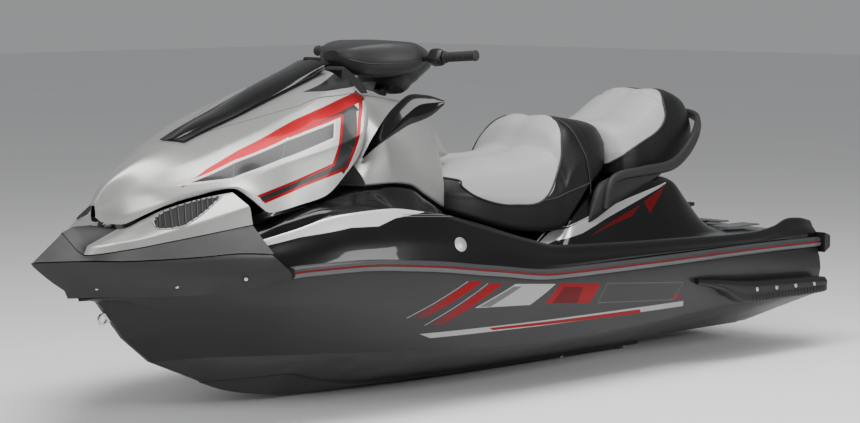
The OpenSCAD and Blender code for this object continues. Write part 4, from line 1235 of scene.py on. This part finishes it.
rings = []
for i in range(31):
    u = i / 30
    r = 84 + 44 * u ** 0.8 + 1.6 * math.sin(u * 16) * (u < 0.6)
    z = -2 + 116 * u
    rings.append([leaned([math.cos(k * math.pi / 20) * r
                          * (0.52 + 0.40 * u) + 12 * u,
                          math.sin(k * math.pi / 20) * r * 1.22, z])
                  for k in range(40)])
pad.skin(rings)
pad.build("handle_pad_cover", ["matte_moulding"], body="bars",
          hide=["handle_pad"], angle=36, slot="matte_moulding")
seam = Shape()
P = [[x, 0, 0] for x in []]
line = []
for x in span(1712, 2098, 40):
    w, lo, hi = (at(PADT, x, k) for k in (1, 2, 3))
    line.append([x, w * 0.985, mix(lo, hi, 0.36)])
seam.tube(line, 2.2, 8, mirror=True)
seam.build("handle_pad_seam", ["black_plastic"], body="bars",
           slot="matte_moulding")

# pods, grips: fuller forms round the same bar
gm = Matrix.Translation((18, 130, 104)) @ Matrix.Rotation(
    math.radians(3), 4, "Z") @ Matrix.Rotation(math.radians(-84), 4, "X")


def on_grip(p):
    return leaned(list(gm @ Vector(p)))


gr = Shape()
rings = []
for i in range(61):
    z = 124 + 134 * i / 60
    r = 16.4 + 0.7 * math.sin(i * 1.9) + (3.6 if i < 3 else 0) \
        + (1.8 if 56 < i < 60 else 0) - (3 if i == 60 else 0)
    rings.append([on_grip([math.cos(k * math.pi / 14) * r,
                           math.sin(k * math.pi / 14) * r, z])
                  for k in range(28)])
gr.skin(rings, mirror=True)
gr.build("hand_grips", ["grip_rubber"], body="bars", hide=["grips"],
         angle=50, slot="grip_rubber")
pod = Shape()
rings = []
for i, (z, a, b) in enumerate(((64, 17, 18), (68, 23, 24), (76, 25, 27),
                               (90, 25, 27), (104, 25, 26), (112, 23, 23),
                               (118, 18, 18))):
    ring = []
    for k in range(32):
        t = k * math.pi / 16
        c, s = math.cos(t), math.sin(t)
        ring.append(on_grip([a * math.copysign(abs(c) ** 0.55, c),
                             b * math.copysign(abs(s) ** 0.55, s) - 1, z]))
    rings.append(ring)
pod.skin(rings, mirror=True)
for dz, dx in ((80, -8), (94, -8), (87, 9)):
    pod.disc(on_grip([dx, -25, dz]), Vector(on_grip([dx, -40, dz]))
             - Vector(on_grip([dx, -25, dz])), 5.5, 5, mat=1, mirror=True)
pod.build("switch_pods", ["black_plastic", "dark_metal"], body="bars",
          hide=["control_pods"], angle=35, slot="black_plastic")

# ---------------------------------------------------------------- grab rail
def smooth_path(P, k):
    out = []
    for i in range(len(P) - 1):
        a, b, c, d = (P[max(i - 1, 0)], P[i], P[i + 1],
                      P[min(i + 2, len(P) - 1)])
        for j in range(k):
            u = j / k
            out.append([0.5 * (2 * b[q] + (c[q] - a[q]) * u
                               + (2 * a[q] - 5 * b[q] + 4 * c[q] - d[q]) * u * u
                               + (3 * b[q] - a[q] - 3 * c[q] + d[q]) * u ** 3)
                        for q in range(3)])
    return out + [list(P[-1])]


path = smooth_path(GRAB + [[p[0], -p[1], p[2]] for p in GRAB[-2::-1]], 9)
n = len(path)
grab = Shape()
rings = []
for i, p in enumerate(path):
    a, b = Vector(path[max(i - 1, 0)]), Vector(path[min(i + 1, n - 1)])
    t = (b - a).normalized()
    side = Vector((0, 1 if p[1] >= 0 else -1, 0)).lerp(
        Vector((-1, 0, 0)), max(0, 1 - abs(p[1]) / 200))
    side = (side - t * side.dot(t)).normalized()
    w = t.cross(side).normalized()
    dst = min(i, n - 1 - i) / n
    tall = 13 + 9 * max(0, 1 - abs(dst - 0.28) / 0.28)
    ring = []
    for k in range(20):
        q = k * math.pi / 10
        c, s = math.cos(q), math.sin(q)
        ring.append(list(Vector(p) + side * 11.5 * math.copysign(
            abs(c) ** 0.7, c) + w * tall * math.copysign(abs(s) ** 0.7, s)))
    rings.append(ring)
grab.skin(rings)
LOW_G = [[1095, 246, 508], [1045, 250, 528], [960, 250, 566],
         [860, 249, 606], [760, 247, 640], [690, 244, 664]]
TOP_G = [[1080, 246, 545], [1040, 250, 640], [975, 250, 668],
         [880, 249, 686], [770, 247, 690], [690, 244, 692]]
rings = []
for i in range(31):
    lo = Vector(smooth_path(LOW_G, 6)[i])
    hi = Vector(smooth_path(TOP_G, 6)[i])
    P = []
    for u, d in ((0, -5), (0, 3), (0.06, 6.5), (0.35, 8), (0.65, 8),
                 (0.94, 6.5), (1, 3), (1, -5)):
        q = lo.lerp(hi, u)
        P.append([q.x, q.y + d - 4 + 8 * i / 30, q.z])
    rings.append(P)
grab.skin(rings, mirror=True)
grab.build("grab_rail_loop", ["matte_moulding"], hide=["grab_rail"],
           angle=40, slot="matte_moulding")

# ---------------------------------------------------------------- sponsons
spon = Shape()
ST = [[90, 526, 576, 208, 262], [140, 528, 580, 206, 266],
      [590, 538, 588, 208, 288], [740, 548, 586, 270, 306],
      [860, 554, 574, 300, 318]]
rings = []
for x in dense([90, 140, 590, 740, 860], 18):
    y0, y1, z0, z1 = (at(ST, x, k) for k in (1, 2, 3, 4))
    dip = 0
    P, seg = refine([[x, y0, z0], [x, y1 - 6, z0], [x, y1 - 1, z0 + 8],
                     [x, y1 - 2, mix(z0, z1, 0.45)], [x, y1, z1 - 14],
                     [x, y1 - 12, z1], [x, y0 + 3, z1], [x, y0, z0]],
                    {1: 3, 2: 2, 3: 2, 4: 4, 5: 4, 6: 2}, 2)
    rings.append(P[:-1])
spon.skin(rings, mirror=True)
for x in (180, 300, 420, 540):
    z = mix(at(ST, x, 3), at(ST, x, 4), 0.62)
    spon.disc((x, at(ST, x, 2) - 3, z), (0, 1, 0), 8, 5, mat=1, mirror=True)
for x in span(120, 560, 22):
    spon.box((x, at(ST, x, 2) - 4, at(ST, x, 3) + 16), (5, 8, 22),
             mirror=True)
spon.build("sponson_fins", ["black_plastic", "stainless"],
           hide=["sponsons"], angle=35, slot="black_plastic")

# ---------------------------------------------------------------- seats
def seat_half(q, base):
    x = q[0]
    P = [[x, 0, base + 3], [x, q[1] * 0.86, base], [x, q[1], q[2]],
         [x, q[1] * 0.985, mix(q[2], q[4], 0.3)],
         [x, q[1] * 0.95, mix(q[2], q[4], 0.52)],
         [x, mix(q[1], q[3], 0.5), mix(q[2], q[4], 0.86)],
         [x, q[3] * 0.75, q[4] - 1], [x, 0, q[4] - 3]]
    return refine(P, {1: 3, 2: 8}, 6)


def seat_row(T, x):
    return [x] + [at(T, x, k) for k in (1, 2, 3, 4)]


def on_seat(T, x, z):
    """Where the seat's side is z high at x, half of the width."""
    P, _ = seat_half(seat_row(T, x), z - 400)
    for a, b in zip(P[2:], P[3:]):
        if a[2] <= z <= b[2] and b[2] > a[2] and a[1] > 1:
            return [x, mix(a[1], b[1], (z - a[2]) / (b[2] - a[2])), z]
    return None


def soft_skin(T, x0, x1, n, base_at, puff):
    rings = []
    seg = None
    for i in range(n + 1):
        x = x0 + (x1 - x0) * i / n
        q = seat_row(T, x)
        e = min(1, (x - x0) / 26, (x1 - x) / 26)
        e = math.sqrt(max(0.0, 1 - (1 - e) ** 2)) if e < 1 else 1
        lo = base_at(x, q)
        q[4] = mix(mix(lo, q[4], 0.8), q[4], e)
        q[1] *= mix(0.9, 1, e)
        H, seg = seat_half(q, lo)
        for p in H[8:]:
            p[2] += puff(x, p[1], p[2]) * e
        rings.append(both(H))
    return rings, wrap_rows(seg)


def dent(x, x0, w):
    return math.exp(-((x - x0) / w) ** 2)


def front_puff(x, y, z):
    g = -7 * dent(x, 1243 - abs(y) * 0.12, 11)
    g += -4 * dent(x, 1104 - abs(y) * 0.1, 6) * (z > 640)
    g += -3 * dent(x, 1040 + abs(y) * 0.1, 7) * (z > 700)
    g += 7 * dent(abs(y), 70, 60) * dent(x, 1480, 220)
    return g


def rear_puff(x, y, z):
    g = -6 * dent(x, 600 - abs(y) * 0.15, 12)
    for k in range(-2, 3):
        g -= 7 * dent(x, 588, 17) * dent(y, k * 52, 12)
    return g


def front_base(x, q):
    return max(at(TOP, x, 2), at(PED, x, 2)) + 10


def rear_base(x, q):
    return q[2] - 10 if x < 570 else max(at(TOP, x, 2) + 4, q[2] - 12)


fs = Shape()
rings, rows = soft_skin(FSEAT, 885, 1788, 150, front_base, front_puff)
fs.skin(rings)
seat1 = fs.build("front_seat_cover", ["seat_front"], hide=["front_seat"],
                 angle=50, slot="seat_vinyl_black")
rs = Shape()
rings, rows = soft_skin(RSEAT, 330, 872, 100, rear_base, rear_puff)
rs.skin(rings)
seat2 = rs.build("rear_seat_cover", ["seat_rear"], hide=["rear_seat"],
                 angle=50, slot="seat_vinyl_silver")


def curve_z(L, x):
    for (x0, z0), (x1, z1) in zip(L, L[1:]):
        if x0 <= x <= x1:
            return z0 + (z1 - z0) * (x - x0) / (x1 - x0)
    return None


def seam_line(T, L, n=90, lift=1.6):
    """Piping path on the seat along the x, z line L, in design mm."""
    out = []
    L = [q[:2] for q in smooth_path([[x, z, 0] for x, z in L], 12)]
    for i in range(n + 1):
        u = i / n * (len(L) - 1)
        a = min(int(u), len(L) - 2)
        x, z = mix(L[a], L[a + 1], u - a)
        p = on_seat(T, x, z)
        if p:
            out.append([p[0], p[1] + lift, p[2]])
    return out


def rm(L):
    return [[x * 1000 + 1685, z * 1000 + 250] for x, z in L]


pipe = Shape()
for T, L, r in (
        (FSEAT, RIM_F, 3.6), (FSEAT, SEAM_F1, 3.0), (FSEAT, SEAM_F2, 3.0),
        (RSEAT, RIM_R, 3.4)):
    P = seam_line(T, rm(L))
    if len(P) > 6:
        pipe.tube(P, r, 8, mirror=True)
pipe.build("seat_piping", ["piping"], slot="seat_vinyl_black", angle=60)

# ---------------------------------------------------------------- small parts
small = Shape()
# blank round disc on the deck's side
c = [2078, (at(BOND, 2078, 1) + at(CREST, 2078, 1) + 14) / 2 + 6,
     (at(BOND, 2078, 2) + 15 + at(CREST, 2078, 2) - 22) / 2]
d = Vector((0.12, 1, 0.36)).normalized()
small.disc([c[k] - d[k] * 2 for k in range(3)], d, 24, 6, n=40, e=1.2,
           mirror=True)
small.disc([c[k] + d[k] * 2 for k in range(3)], d, 17, 3.4, mat=1, n=40,
           e=0.8, mirror=True)
small.build("deck_discs", ["disc_silver", "silver_paint"],
            slot="silver_paint")

# ---------------------------------------------------------------- stage
floor = mesh_object("floor", [(-30, -30, FLOOR_Z), (30, -30, FLOOR_Z),
                              (30, 30, FLOOR_Z), (-30, 30, FLOOR_Z)],
                    [(0, 1, 2, 3)], smooth=False)
fm = Mat("floor_paint", (0.86, 0.86, 0.86), 0.7)
fm.vary(0.01, 1)
floor.data.materials.append(fm.done())

world = bpy.data.worlds.new("studio")
bpy.context.scene.world = world
world.use_nodes = True
world.node_tree.nodes["Background"].inputs[0].default_value = (0.92, 0.93, 0.95, 1)
world.node_tree.nodes["Background"].inputs[1].default_value = 0.34


def area(name, loc, target, size, power, size_y=None):
    d = bpy.data.lights.new(name, "AREA")
    d.energy = power
    d.size = size
    if size_y:
        d.shape = "RECTANGLE"
        d.size_y = size_y
    o = bpy.data.objects.new(name, d)
    o.location = loc
    v = Vector(target) - Vector(loc)
    o.rotation_euler = v.to_track_quat("-Z", "Y").to_euler()
    bpy.context.scene.collection.objects.link(o)
    return o


area("key_top", (0.5, 1.0, 4.2), (0, 0, 0.3), 4.5, 290, 2.2)
area("fill_front", (5.5, 1.0, 2.2), (0.5, 0, 0.4), 2.5, 120)
area("side_strip", (-1.0, 5.5, 2.0), (0, 0, 0.3), 4.0, 170, 1.2)
